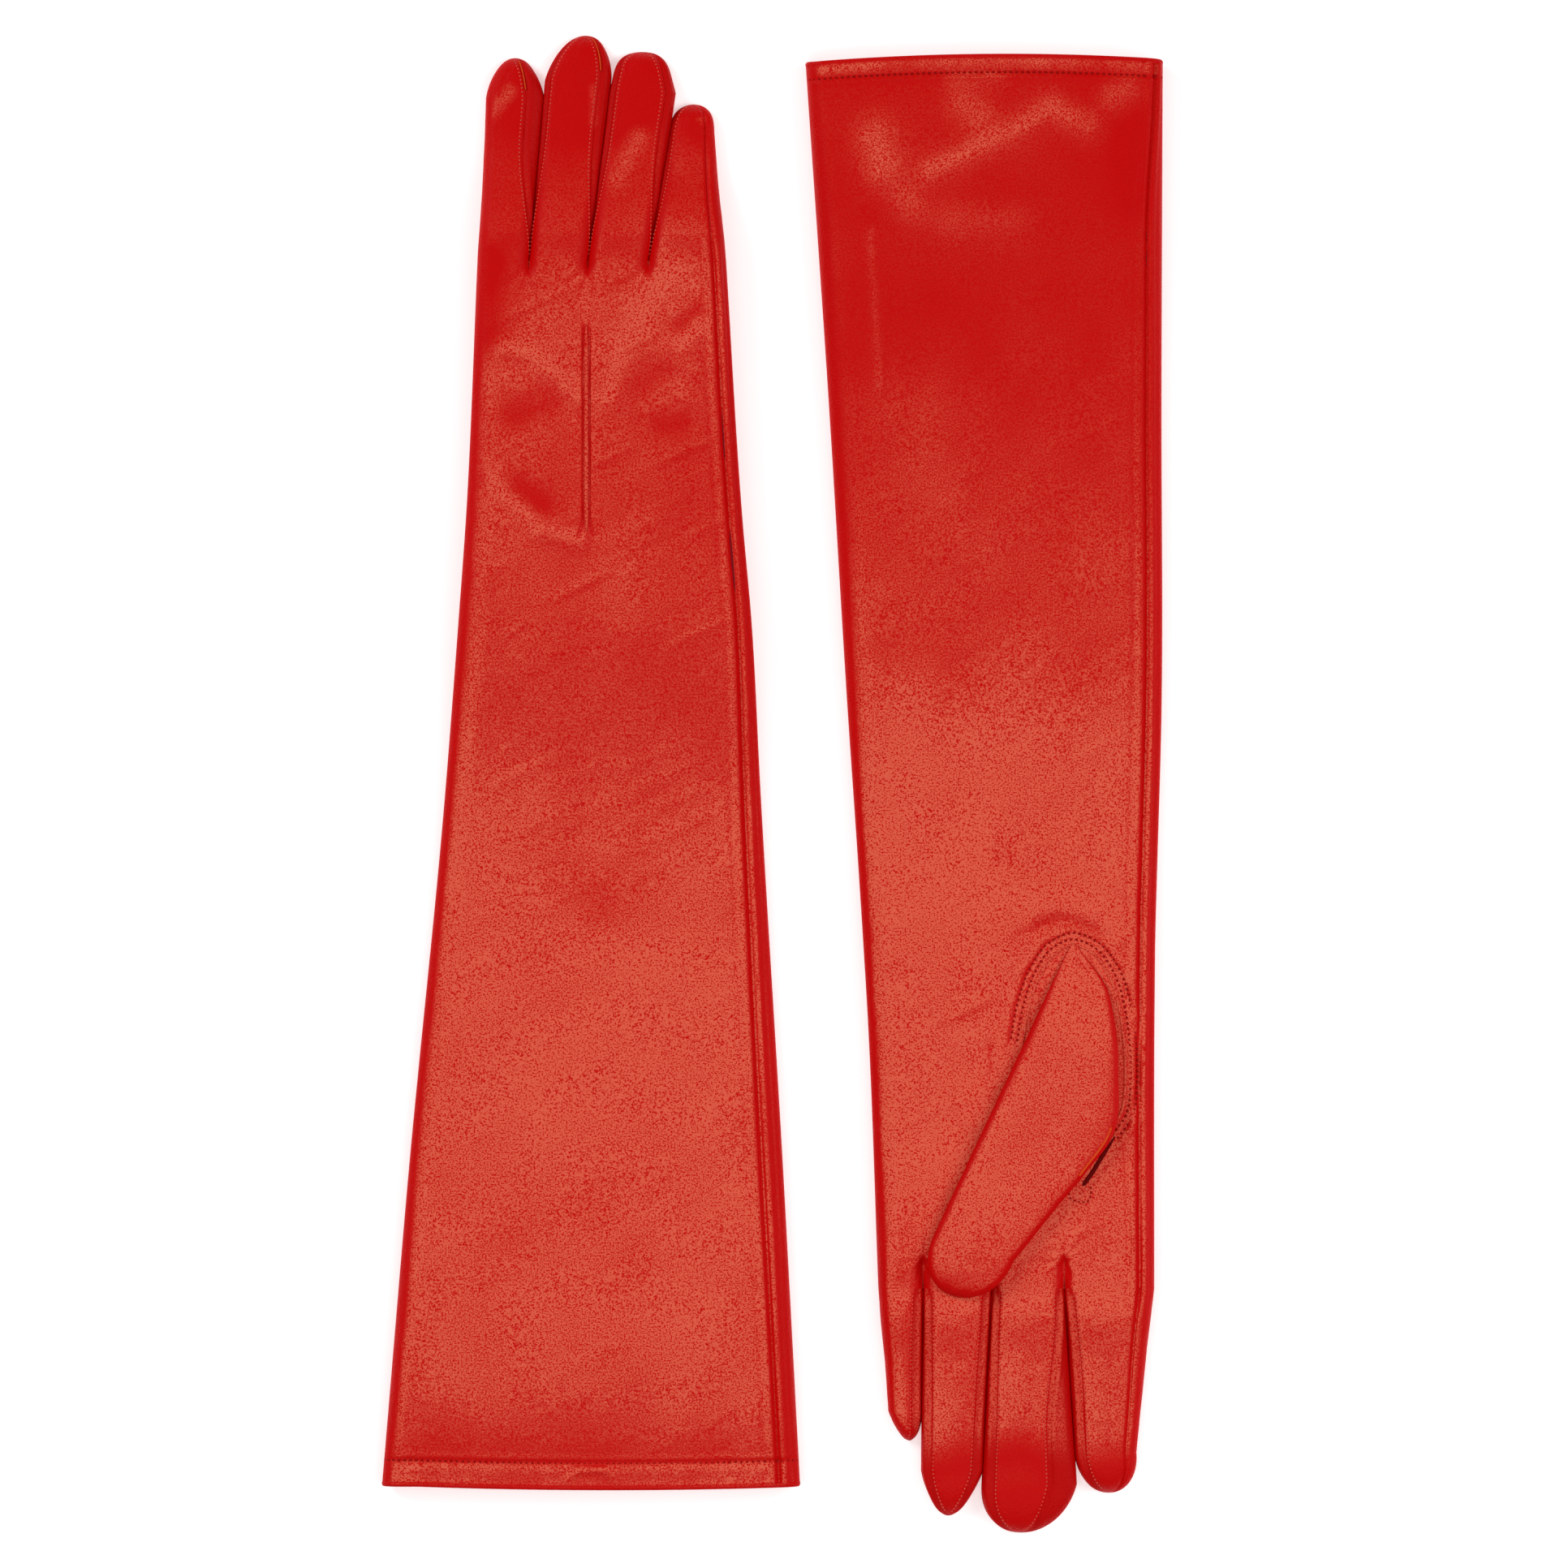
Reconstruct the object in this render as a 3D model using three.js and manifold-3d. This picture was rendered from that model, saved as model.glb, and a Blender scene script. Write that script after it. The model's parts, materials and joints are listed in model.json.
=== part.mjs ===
// A pair of long leather opera gloves, lying side by side on a table, head to tail.
// The right-hand glove lies back up on its thumb, and the left-hand glove lies palm up with its thumb on top.
// Each glove is made in a frame of its own and then placed: x runs across it, from the index finger's side
// to the little finger's, y runs along it to the fingertips from the root of the fingers, and z is up from
// the table. A glove's sleeve and fingers are leather skins with a rounded-rectangle section, parted along
// their real seams, over a thin lining. Millimetres.
import * as THREE from "three";
import { mergeVertices } from "three/addons/utils/BufferGeometryUtils.js";
import Module from "manifold-3d";

const solidKit = await Module();
solidKit.setup();

// Materials' thicknesses and the clearances between pieces.
const LEATHER = 0.9; // glove leather
const LINING = 0.5; // knitted lining
const THREAD = 0.3; // height of a thread above the leather
const CLEAR = 0.3; // between two pieces that touch
const FINGER_CLEAR = 1; // between two neighbouring fingers, so that each one folds clear of the next

// The sleeve.
const SLEEVE_THICK = 10.2; // through the glove as it lies
const SLEEVE_CORNER = 4; // radius of the folded edges
const SEAM_INSET = 5.5; // from a folded edge to the side seam beside it
const KNUCKLE = 9; // y of the line that the fingers bend on
const WRIST = -150; // y from which a sleeve may gape wider towards its hem
const HEM = 9; // depth of the turned hem
const HEM_STITCH = 8; // from the hem's edge to its row of stitches
const STITCH_WIDTH = 0.8;
const HEM_PRESS = THREAD * 2; // how far the pressed hem stands in from the sleeve, above and below

// The fingers.
const FINGER_CORNER = 3.4;
const FINGER_SWELL = 0.3; // how much thicker a finger is at its root than the sleeve
const TIP_THICK = 7.5; // where a fingertip starts to round
const TIP_SHARE = 0.8; // share of a finger's length that lies before the rounding
const TIP_ROWS = [0.4, 0.65, 0.82]; // rows along the rounding, as shares of it
const TIP_CAP = [0.9, 0.985]; // the closed end of a fingertip, as shares of its rounding
const TIP_BLUNT = 2.4; // power of a tip's outline: 2 is an ellipse, and more is blunter
const TIP_THINS = 0.7; // how far a fingertip thins, as a share of the square of its thickness
const SEAM = 0.06; // share of a corner that stays open on each side of a finger's seam
const SIDE_SEAM = 0.1; // share of a flat side from its corner to the seam of a strip that wraps a free side

// The thumb, in a frame with y along it from the point of its base.
const THUMB_THICK = 5;
const THUMB_CORNER = 2.2;
const THUMB_LEAN = THREE.MathUtils.degToRad(18.4); // from the glove's length towards the little finger
const THUMB_BASE = [-17.9, -117.9];
const THUMB_LENGTH = 126;
const THUMB_TIP = 18; // length of the rounding at its tip
const THUMB_TIP_X = 0.7;
const THUMB_TIP_THINS = 0.3; // share of its thickness that the tip loses
const THUMB_SEAM = 0.4; // how far round the sewn side's corners the thumb's leather reaches
const THUMB_EDGES = [
  // y, then x of the sewn edge and x of the folded edge
  [1, -8, 0.6],
  [8, -15.5, 1.4],
  [18, -22.3, 2.6],
  [38, -30.4, 4.9],
  [56, -35, 7.2],
  [72, -29.5, 9.2],
  [88, -23.4, 11.3],
  [108, -15.8, 13.8],
];

// The oval seam that sets the thumb into the palm, and the hole inside it that the wearer's thumb goes through.
const BAND = { x: -20, y: -85, across: 18.3, along: 35.5, lean: THREE.MathUtils.degToRad(9.7), width: 3, thick: 0.6 };
const THUMB_HOLE = { x: -21.7, y: -78.7, across: 9, along: 22, lean: THREE.MathUtils.degToRad(1.6) };
const QUIRK = [
  [-31.5, -46.5],
  [-18.5, -30.5],
  [-24.5, -29.5],
]; // the gusset at the crotch of the thumb

// The raised point stitched down the back of the hand.
const POINT = { x: -4.4, from: -93, to: -22, width: 1.8, thick: 0.6 };

// Heights of the palm and of the back above the table.
const OVER_THUMB = THUMB_THICK + CLEAR + BAND.thick + CLEAR;
const OVER_POINT = POINT.thick + CLEAR;
const OVER_ALL = 20; // above every piece, for a tool that cuts right through

// How each glove lies. A sleeve row is y, x of the index side, x of the little finger's side and height above
// the table, and the first one is at the hem. A finger lies between the lines on each side of it.
const GLOVES = [
  {
    side: "right",
    backUp: true,
    place: { x: -60.1, y: 180.04, turn: 0 },
    sleeveLength: 422, // from the roots of the fingers to the hem
    gape: 0, // how much further the sleeve stands open at its hem
    sleeve: [
      [-422, -75.1, 69.2, 0],
      [-316, -66.1, 63.5, 0],
      [-182, -53.2, 55.5, 0],
      [-122, -48.4, 52.3, OVER_THUMB],
      [-92, -46.2, 49.6, OVER_THUMB],
      [0, -42, 43.7, OVER_THUMB],
    ],
    // x of each line between fingers at the root, and at LINE_END from it
    lines: [
      [-41.9, -39.9],
      [-24.2, -19.3],
      [-3.9, 3],
      [16.9, 25.7],
      [43.6, 39.3],
    ],
    fingers: [
      ["index", 70.6, -29.2],
      ["middle", 78.4, -4.8],
      ["ring", 72.8, 14.6],
      ["little", 54.6, 32.5],
    ], // name, length and x of the tip
    settled: 40, // y from which the fingers lie on the table
  },
  {
    side: "left",
    backUp: false,
    place: { x: 84.4, y: -173.86, turn: Math.PI },
    sleeveLength: 422.5,
    gape: 2.8,
    sleeve: [
      [-422.5, -49.7, 73.5, 0],
      [-310, -49.3, 65.8, 0],
      [-192, -49.2, 58.5, 0],
      [-150, -48, 55.6, 0],
      [-122, -47.2, 53.8, OVER_POINT],
      [-94, -46.9, 52.1, OVER_POINT],
      [0, -46.8, 48.4, OVER_POINT],
    ],
    lines: [
      [-46.9, -41.5],
      [-15.7, -19.2],
      [9.3, 12],
      [33, 33.4],
      [48.3, 44.5],
    ],
    fingers: [
      ["index", 70.9, -31.3],
      ["middle", 84.6, -1],
      ["ring", 78.7, 24.2],
      ["little", 52.9, 37.6],
    ],
    settled: 25,
  },
];
const LINE_END = 55;

const FINISH = {
  leather: { color: 0xc4161c, roughness: 0.48, metalness: 0 },
  fourchette: { color: 0xb51218, roughness: 0.52, metalness: 0 },
  lining: { color: 0x9c1a20, roughness: 0.85, metalness: 0 },
  thread: { color: 0xd9342f, roughness: 0.7, metalness: 0 },
};

// --- Geometry kit ---

// A value from rows whose first number is y, at any y between them.
function between(rows, y, column) {
  const above = rows.findIndex((row) => row[0] >= y);
  const i = above < 0 ? rows.length - 1 : Math.max(1, above);
  const [a, b] = [rows[i - 1], rows[i]];
  return THREE.MathUtils.mapLinear(y, a[0], b[0], a[column], b[column]);
}

// A rounded-rectangle section across a glove: its middle, half width, half height and corner radius.
function section(left, right, low, high, corner) {
  const half = (right - left) / 2;
  const rise = (high - low) / 2;
  return { x: (left + right) / 2, z: (low + high) / 2, half, rise, corner: Math.min(corner, half, rise) * 0.98 };
}

// A point on a section, inset by a distance. way runs once round it from 0 to 8: over the back to the index
// side, round a corner at 1, down the side from 2, round a corner at 3, over the palm from 4, round a corner
// at 5, up the little finger's side from 6 and round the last corner at 7.
function onSection(s, way, inset, backUp) {
  const half = s.half - inset;
  const rise = s.rise - inset;
  const r = Math.max(s.corner - inset, 0.15);
  const leg = Math.floor(way) % 8;
  const t = way - Math.floor(way);
  const [cx, cz] = [half - r, rise - r];
  const arc = (x, z, start) => {
    const angle = start + (t * Math.PI) / 2;
    return [x + r * Math.cos(angle), z + r * Math.sin(angle)];
  };
  const [x, z] = [
    () => [cx - 2 * cx * t, rise],
    () => arc(-cx, cz, Math.PI / 2),
    () => [-half, cz - 2 * cz * t],
    () => arc(-cx, -cz, Math.PI),
    () => [-cx + 2 * cx * t, -rise],
    () => arc(cx, -cz, -Math.PI / 2),
    () => [half, -cz + 2 * cz * t],
    () => arc(cx, cz, 0),
  ][leg]();
  return [s.x + x, s.z + (backUp ? z : -z)];
}

// The ways from one to another, with points round each corner that they pass.
function ways(from, to) {
  const passed = (way) => way > from + 1e-4 && way < to - 1e-4;
  const turns = [1, 3, 5, 7, 9, 11].flatMap((corner) => [corner, corner + 0.5, corner + 1]);
  return [from, ...turns.filter(passed), to];
}

// Makes a closed geometry from points and faces, facing outwards.
function closedGeometry(points, faces) {
  let volume = 0;
  const at = faces.map((face) => face.map((i) => new THREE.Vector3(...points[i])));
  for (const [a, b, c] of at) volume += a.dot(new THREE.Vector3().crossVectors(b, c));
  const index = volume > 0 ? faces : faces.map(([a, b, c]) => [a, c, b]);
  const geometry = new THREE.BufferGeometry();
  geometry.setAttribute("position", new THREE.Float32BufferAttribute(points.flat(), 3));
  geometry.setIndex(index.flat());
  return geometry;
}

// A skin between an outer and an inner grid of points, each a list of rows. A skin that is closed goes all
// the way round, as a tube does.
function skin(outer, inner, closed) {
  const rows = outer.length;
  const across = outer[0].length;
  const points = [...outer.flat(), ...inner.flat()];
  const at = (layer, i, j) => layer * rows * across + i * across + (j % across);
  const faces = [];
  const quad = (a, b, c, d) => faces.push([a, b, c], [a, c, d]);
  const lastEdge = closed ? across : across - 1;
  for (let j = 0; j < lastEdge; j++) {
    for (let i = 0; i < rows - 1; i++) {
      quad(at(0, i, j), at(0, i, j + 1), at(0, i + 1, j + 1), at(0, i + 1, j));
      quad(at(1, i, j), at(1, i + 1, j), at(1, i + 1, j + 1), at(1, i, j + 1));
    }
    quad(at(0, 0, j), at(1, 0, j), at(1, 0, j + 1), at(0, 0, j + 1));
    quad(at(0, rows - 1, j), at(0, rows - 1, j + 1), at(1, rows - 1, j + 1), at(1, rows - 1, j));
  }
  for (let i = 0; i < rows - 1 && !closed; i++) {
    quad(at(0, i, 0), at(0, i + 1, 0), at(1, i + 1, 0), at(1, i, 0));
    const j = across - 1;
    quad(at(0, i, j), at(1, i, j), at(1, i + 1, j), at(0, i + 1, j));
  }
  return closedGeometry(points, faces);
}

// A skin over a body whose section at each y is sectionAt(y), between two ways round it.
function wrap(sectionAt, rows, from, to, depth, thick, backUp) {
  const grid = (inset) =>
    rows.map((y) => {
      const s = sectionAt(y);
      const [start, end] = [from, to].map((way) => (typeof way === "function" ? way(s) : way));
      return ways(start, end).map((way) => {
        const [x, z] = onSection(s, way, inset, backUp);
        return [x, y, z];
      });
    });
  return skin(grid(depth), grid(depth + thick), false);
}

// A tube all the way round such a body.
function tube(sectionAt, rows, depth, thick, backUp) {
  const round = ways(0, 8).slice(0, -1);
  const grid = (inset) =>
    rows.map((y) =>
      round.map((way) => {
        const [x, z] = onSection(sectionAt(y), way, inset, backUp);
        return [x, y, z];
      }),
    );
  return skin(grid(depth), grid(depth + thick), true);
}

// A solid that fills such a body between its rows.
function plug(sectionAt, rows, backUp) {
  const round = ways(0, 8).slice(0, -1);
  const n = round.length;
  const points = rows.flatMap((y) =>
    round.map((way) => {
      const [x, z] = onSection(sectionAt(y), way, 0, backUp);
      return [x, y, z];
    }),
  );
  const faces = [];
  for (let i = 0; i < rows.length - 1; i++)
    for (let j = 0; j < n; j++) {
      const [a, b] = [i * n + j, i * n + ((j + 1) % n)];
      faces.push([a, b, b + n], [a, b + n, a + n]);
    }
  const last = (rows.length - 1) * n;
  for (let j = 1; j < n - 1; j++) faces.push([0, j + 1, j], [last, last + j, last + j + 1]);
  return closedGeometry(points, faces);
}

function toSolid(geometry) {
  const bare = geometry.index ? geometry.clone() : geometry;
  bare.deleteAttribute("normal");
  bare.deleteAttribute("uv");
  const merged = mergeVertices(bare, 1e-4);
  return new solidKit.Manifold(
    new solidKit.Mesh({
      numProp: 3,
      vertProperties: merged.attributes.position.array,
      triVerts: new Uint32Array(merged.index.array),
    }),
  );
}

function toGeometry(solid) {
  const { vertProperties, triVerts } = solid.getMesh();
  const geometry = new THREE.BufferGeometry();
  geometry.setAttribute("position", new THREE.BufferAttribute(vertProperties, 3));
  geometry.setIndex(new THREE.BufferAttribute(triVerts, 1));
  return geometry;
}

const cut = (from, tool) => toGeometry(toSolid(from).subtract(toSolid(tool)));
const join = (a, b) => toGeometry(toSolid(a).add(toSolid(b)));

// A flat shape, extruded between two heights.
function plate(shape, low, high) {
  const geometry = new THREE.ExtrudeGeometry(shape, { depth: high - low, bevelEnabled: false, curveSegments: 20 });
  return geometry.translate(0, 0, low);
}

function mesh(name, geometry, finish) {
  const made = new THREE.Mesh(geometry, new THREE.MeshStandardMaterial(FINISH[finish]));
  made.name = name;
  return made;
}

// --- The sleeve ---

function sleeveSection(glove, y) {
  const [left, right, base] = [1, 2, 3].map((column) => between(glove.sleeve, y, column));
  const hem = -glove.sleeveLength;
  const press = HEM_PRESS * THREE.MathUtils.clamp((hem + 2 * HEM - y) / HEM, 0, 1);
  const gape = glove.gape * THREE.MathUtils.clamp((WRIST - y) / (WRIST - hem), 0, 1);
  return section(left, right, base + press, base + SLEEVE_THICK + gape - press, SLEEVE_CORNER);
}

function sleeve(glove) {
  const { side, backUp } = glove;
  const at = (y) => sleeveSection(glove, y);
  const hem = -glove.sleeveLength;
  const pressed = hem + 2 * HEM;
  const measured = glove.sleeve.map((row) => row[0]).filter((y) => y > pressed);
  const rows = [hem, hem + HEM, pressed, ...measured, KNUCKLE];
  // The back wraps round the index side to a seam on the palm, and the palm round the other side to the back.
  // Where each one folds round its side it is a piece of its own, so that a flat piece lies over the hollow.
  const inset = (s) => (SEAM_INSET - s.corner) / (2 * (s.half - s.corner));
  const slack = (s) => CLEAR / (2 * (s.half - s.corner));
  const piece = (from, to) => wrap(at, rows, from, to, 0, LEATHER, backUp);
  const back = piece(inset, (s) => 1 - slack(s));
  const backFold = piece(() => 1, (s) => 4 + inset(s));
  const palm = piece((s) => 4 + inset(s) + slack(s), (s) => 5 - slack(s));
  const palmFold = piece(() => 5, (s) => 8 + inset(s) - slack(s));
  const under = LEATHER + CLEAR;
  const lined = [hem + HEM + CLEAR, ...rows.slice(2, -1), KNUCKLE - CLEAR];
  const stitch = hem + HEM_STITCH;
  return [
    mesh(`${side}_back_panel`, back, "leather"),
    mesh(`${side}_back_fold`, backFold, "leather"),
    mesh(`${side}_palm_panel`, cut(palm, thumbHole(0, OVER_ALL)), "leather"),
    mesh(`${side}_palm_fold`, palmFold, "leather"),
    mesh(`${side}_hem_facing`, tube(at, [hem, hem + HEM], under, LEATHER, backUp), "leather"),
    mesh(`${side}_hem_stitching`, tube(at, [stitch - STITCH_WIDTH, stitch], -HEM_PRESS, THREAD, backUp), "thread"),
    mesh(`${side}_sleeve_lining`, cut(tube(at, lined, under, LINING, backUp), liningHole(glove)), "lining"),
    mesh(`${side}_back_point`, backPoint(glove), "leather"),
  ];
}

// The raised point: a stitched tuck, pointed at both ends, on the back.
function backPoint(glove) {
  const { x, from, to, width, thick } = POINT;
  const shape = new THREE.Shape([
    new THREE.Vector2(x, from),
    new THREE.Vector2(x + width / 2, from + 2 * width),
    new THREE.Vector2(x + width / 2, to - 2 * width),
    new THREE.Vector2(x, to),
    new THREE.Vector2(x - width / 2, to - 2 * width),
    new THREE.Vector2(x - width / 2, from + 2 * width),
  ]);
  const { z, rise } = sleeveSection(glove, to);
  const low = glove.backUp ? z + rise + CLEAR : z - rise - CLEAR - thick;
  return plate(shape, low, low + thick);
}

// --- The thumb ---

// An oval that leans to the index finger's side, grown by a margin.
function oval({ x, y, across, along, lean }, grow) {
  const curve = new THREE.EllipseCurve(x, y, across + grow, along + grow, 0, 2 * Math.PI, false, lean);
  return new THREE.Shape(curve.getPoints(24).slice(0, -1));
}

const thumbHole = (low, high) => plate(oval(THUMB_HOLE, 0), low, high);

// The hole in the lining, on the palm's side of the glove only.
function liningHole(glove) {
  const s = sleeveSection(glove, BAND.y);
  return glove.backUp ? thumbHole(0, s.z) : thumbHole(s.z, OVER_ALL);
}

// Heights that the thumb lies between, and the face of its seam band.
function thumbHeights(glove) {
  const s = sleeveSection(glove, BAND.y);
  const palm = glove.backUp ? s.z - s.rise : s.z + s.rise;
  const out = glove.backUp ? -1 : 1;
  const band = [palm + out * CLEAR, palm + out * (CLEAR + BAND.thick)];
  const thumb = [band[1] + out * CLEAR, band[1] + out * (CLEAR + THUMB_THICK)];
  return { band: band.sort((a, b) => a - b), thumb: thumb.sort((a, b) => a - b) };
}

function thumbSection(glove, y) {
  const [low, high] = thumbHeights(glove).thumb;
  const shoulder = THUMB_LENGTH - THUMB_TIP;
  const round = THREE.MathUtils.clamp((y - shoulder) / THUMB_TIP, 0, 1);
  const [left, right] = [1, 2].map((column) => between(THUMB_EDGES, Math.min(y, shoulder), column));
  const half = ((right - left) / 2) * Math.sqrt(1 - round ** TIP_BLUNT);
  const middle = THREE.MathUtils.lerp((left + right) / 2, THUMB_TIP_X, round);
  const thick = (high - low) * (1 - THUMB_TIP_THINS * round);
  const [bottom, top] = glove.backUp ? [high - thick, high] : [low, low + thick];
  return section(middle - half, middle + half, bottom, top, THUMB_CORNER);
}

// The thumb is one piece, folded along its far side and sewn along the side next to the palm's edge.
function thumb(glove) {
  const { side, backUp } = glove;
  const at = (y) => thumbSection(glove, y);
  const shoulder = THUMB_LENGTH - THUMB_TIP;
  const tip = (share) => shoulder + share * THUMB_TIP;
  const measured = THUMB_EDGES.map((row) => row[0]).filter((y) => y < shoulder);
  const rows = [...measured, shoulder, tip(TIP_ROWS[0]), tip(TIP_ROWS[1])];
  const leather = wrap(at, [...rows, tip(TIP_ROWS[2])], 3 - THUMB_SEAM, 10 + THUMB_SEAM, 0, LEATHER, backUp);
  const cap = plug(at, [tip(TIP_ROWS[2]) - LEATHER, tip(TIP_CAP[1])], backUp);
  const lining = tube(at, rows.slice(1), LEATHER + CLEAR, LINING, backUp);
  const frame = new THREE.Matrix4().makeRotationZ(-THUMB_LEAN).setPosition(THUMB_BASE[0], THUMB_BASE[1], 0);
  const middle = at(shoulder).z;
  const way = backUp ? thumbHole(middle, OVER_ALL) : thumbHole(0, middle);
  way.applyMatrix4(frame.clone().invert());
  const placed = new THREE.Group();
  placed.applyMatrix4(frame);
  placed.add(
    mesh(`${side}_thumb`, cut(join(leather, cap), way), "leather"),
    mesh(`${side}_thumb_lining`, cut(lining, way), "lining"),
  );
  return placed;
}

// The sewn band round the thumb's hole, and the small gusset at the thumb's crotch.
function thumbSeam(glove) {
  const [low, high] = thumbHeights(glove).band;
  const band = oval(BAND, BAND.width / 2);
  band.holes.push(oval(BAND, -BAND.width / 2));
  const quirk = new THREE.Shape(QUIRK.map(([x, y]) => new THREE.Vector2(x, y)));
  return [
    mesh(`${glove.side}_thumb_seam`, plate(band, low, high), "leather"),
    mesh(`${glove.side}_thumb_quirk`, plate(quirk, low, high), "fourchette"),
  ];
}

// --- The fingers ---

function fingerSection(glove, i, y) {
  const [, length, tip] = glove.fingers[i];
  const [left, right] = [glove.lines[i], glove.lines[i + 1]].map(([root, end]) =>
    THREE.MathUtils.mapLinear(Math.min(y, TIP_SHARE * length), 0, LINE_END, root, end),
  );
  const round = THREE.MathUtils.clamp((y / length - TIP_SHARE) / (1 - TIP_SHARE), 0, 1);
  const half = ((right - left - FINGER_CLEAR) / 2) * Math.sqrt(1 - round ** TIP_BLUNT);
  const middle = THREE.MathUtils.lerp((left + right) / 2, tip, round);
  const root = SLEEVE_THICK + FINGER_SWELL;
  const thick =
    THREE.MathUtils.mapLinear(Math.min(y, TIP_SHARE * length), KNUCKLE, TIP_SHARE * length, root, TIP_THICK) *
    Math.sqrt(1 - TIP_THINS * round ** 3);
  const drop = 1 - THREE.MathUtils.smoothstep(y, KNUCKLE, glove.settled);
  const base = glove.sleeve.at(-1)[3] * drop;
  return section(middle - half, middle + half, base, base + thick, FINGER_CORNER);
}

// A finger's skin: its back and palm strips, the forks between it and its neighbours, and its lining. The
// index finger's back also wraps its free side, and the little finger's palm does.
function finger(glove, i) {
  const { side, backUp } = glove;
  const [name, length] = glove.fingers[i];
  const at = (y) => fingerSection(glove, i, y);
  const start = KNUCKLE + CLEAR;
  const shoulder = TIP_SHARE * length;
  const tip = (share) => shoulder + share * (length - shoulder);
  const rows = [start, (start + glove.settled) / 2, glove.settled, shoulder, ...TIP_ROWS.map(tip)];
  const [first, last] = [i === 0, i === glove.fingers.length - 1];
  const strip = (from, to, along = rows) => wrap(at, along, from + SEAM, to - SEAM, 0, LEATHER, backUp);
  const [backStart, backEnd] = [last ? 8 + SIDE_SEAM : 7.5, first ? 12 + SIDE_SEAM : 9.5];
  const back = strip(backStart, backEnd, [...rows, tip(TIP_CAP[0]) + CLEAR]);
  const cap = plug(at, TIP_CAP.map(tip), backUp);
  const lining = tube(at, rows.slice(0, -1), LEATHER + CLEAR, LINING, backUp);
  const meshes = [
    mesh(`${side}_${name}_back`, join(back, cap), "leather"),
    mesh(`${side}_${name}_palm`, strip(first ? 4 + SIDE_SEAM : 3.5, last ? 8 + SIDE_SEAM : 5.5), "leather"),
    mesh(`${side}_${name}_lining`, lining, "lining"),
  ];
  if (!first) meshes.push(mesh(`${side}_${name}_fork_index_side`, strip(1.5, 3.5), "fourchette"));
  if (!last) meshes.push(mesh(`${side}_${name}_fork_little_side`, strip(5.5, 7.5), "fourchette"));
  return meshes;
}

// --- The pair ---

function makeGlove(glove) {
  const group = new THREE.Group();
  group.add(...sleeve(glove), ...thumbSeam(glove), thumb(glove));
  glove.fingers.forEach((_, i) => group.add(...finger(glove, i)));
  group.position.set(glove.place.x, glove.place.y, 0);
  group.rotation.z = glove.place.turn;
  return group;
}

const pair = new THREE.Group();
pair.add(...GLOVES.map(makeGlove));

export default pair;
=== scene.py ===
"""A pair of leather opera gloves: the leather, seams, stitches, hems and linings, made around their frame."""

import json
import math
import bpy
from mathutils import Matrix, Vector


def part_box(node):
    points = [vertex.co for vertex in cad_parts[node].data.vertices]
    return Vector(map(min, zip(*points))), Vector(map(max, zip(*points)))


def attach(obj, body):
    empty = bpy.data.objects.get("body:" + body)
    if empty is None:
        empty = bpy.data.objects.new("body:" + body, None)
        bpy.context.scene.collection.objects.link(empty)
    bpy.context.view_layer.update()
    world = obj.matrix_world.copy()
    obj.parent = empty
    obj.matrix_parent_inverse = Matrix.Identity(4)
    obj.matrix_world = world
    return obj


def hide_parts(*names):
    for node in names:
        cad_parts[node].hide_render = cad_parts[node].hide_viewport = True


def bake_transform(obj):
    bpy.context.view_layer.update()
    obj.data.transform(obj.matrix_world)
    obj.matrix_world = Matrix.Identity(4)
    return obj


bl_info = {
    "name": "Opera gloves",
    "version": (1, 0, 0),
    "blender": (4, 5, 0),
    "location": "3D View > Sidebar > Gloves",
    "description": "Sews a pair of leather opera gloves around their frame",
    "category": "Add Mesh",
}

import bpy
import numpy as np
from bpy.props import FloatProperty, FloatVectorProperty, PointerProperty
from mathutils import Vector

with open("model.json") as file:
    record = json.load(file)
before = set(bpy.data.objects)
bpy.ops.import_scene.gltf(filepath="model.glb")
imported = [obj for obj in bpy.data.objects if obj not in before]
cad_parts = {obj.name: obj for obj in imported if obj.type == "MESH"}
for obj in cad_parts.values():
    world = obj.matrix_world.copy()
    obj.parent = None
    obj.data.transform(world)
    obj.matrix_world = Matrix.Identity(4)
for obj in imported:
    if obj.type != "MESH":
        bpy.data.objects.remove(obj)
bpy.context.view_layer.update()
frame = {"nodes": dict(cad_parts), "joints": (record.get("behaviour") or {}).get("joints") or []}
JOINTS = {joint["name"]: joint for joint in frame["joints"]}

MM = 0.001
SIDES = ("right", "left")
FINGERS = ("index", "middle", "ring", "little")

# How the gloves are laid out, in millimetres. Each glove has a frame of its own: u runs across it, from the
# index finger's side to the little finger's, and v along it to the fingertips from the roots of the fingers.
KNUCKLE = 9.0  # v of the line that the fingers bend on
BEND_END = 20.0  # v where a finger is fully on the far side of its fold
THUMB_HINGE = -37.0  # u of the thumb's hinge
CROWN = 0.35  # how far a flat face swells in its middle
TIP_SHARE = 0.8  # share of a finger's length before its tip rounds off
THUMB_BASE = (-17.9, -117.9)
THUMB_LEAN = math.radians(18.4)
THUMB_LENGTH = 127.0
THUMB_EDGES = (  # along the thumb, then its sewn edge and its folded edge
    (0, -3, 0.3),
    (8, -14.5, 1.4),
    (18, -21.5, 2.6),
    (38, -29.6, 4.9),
    (56, -34.2, 7.2),
    (72, -29.5, 9.2),
    (88, -23.4, 11.3),
    (109, -15.2, 13.6),
)
HEM_MIDDLE, HEM_HALF = 4.0, 66.0  # across a sleeve at its hem
HEM_BOW = {"right": 1.2, "left": 2.6}
HEM_STITCHES = {"right": 9.0, "left": 6.0}  # from the hem to its stitches
# Painted sheen on the turned band between the hem and its stitches.
HEM_PAINTED_SHEEN = {"right": 0.42, "left": 0.4}  # of the turned band between them
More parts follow.
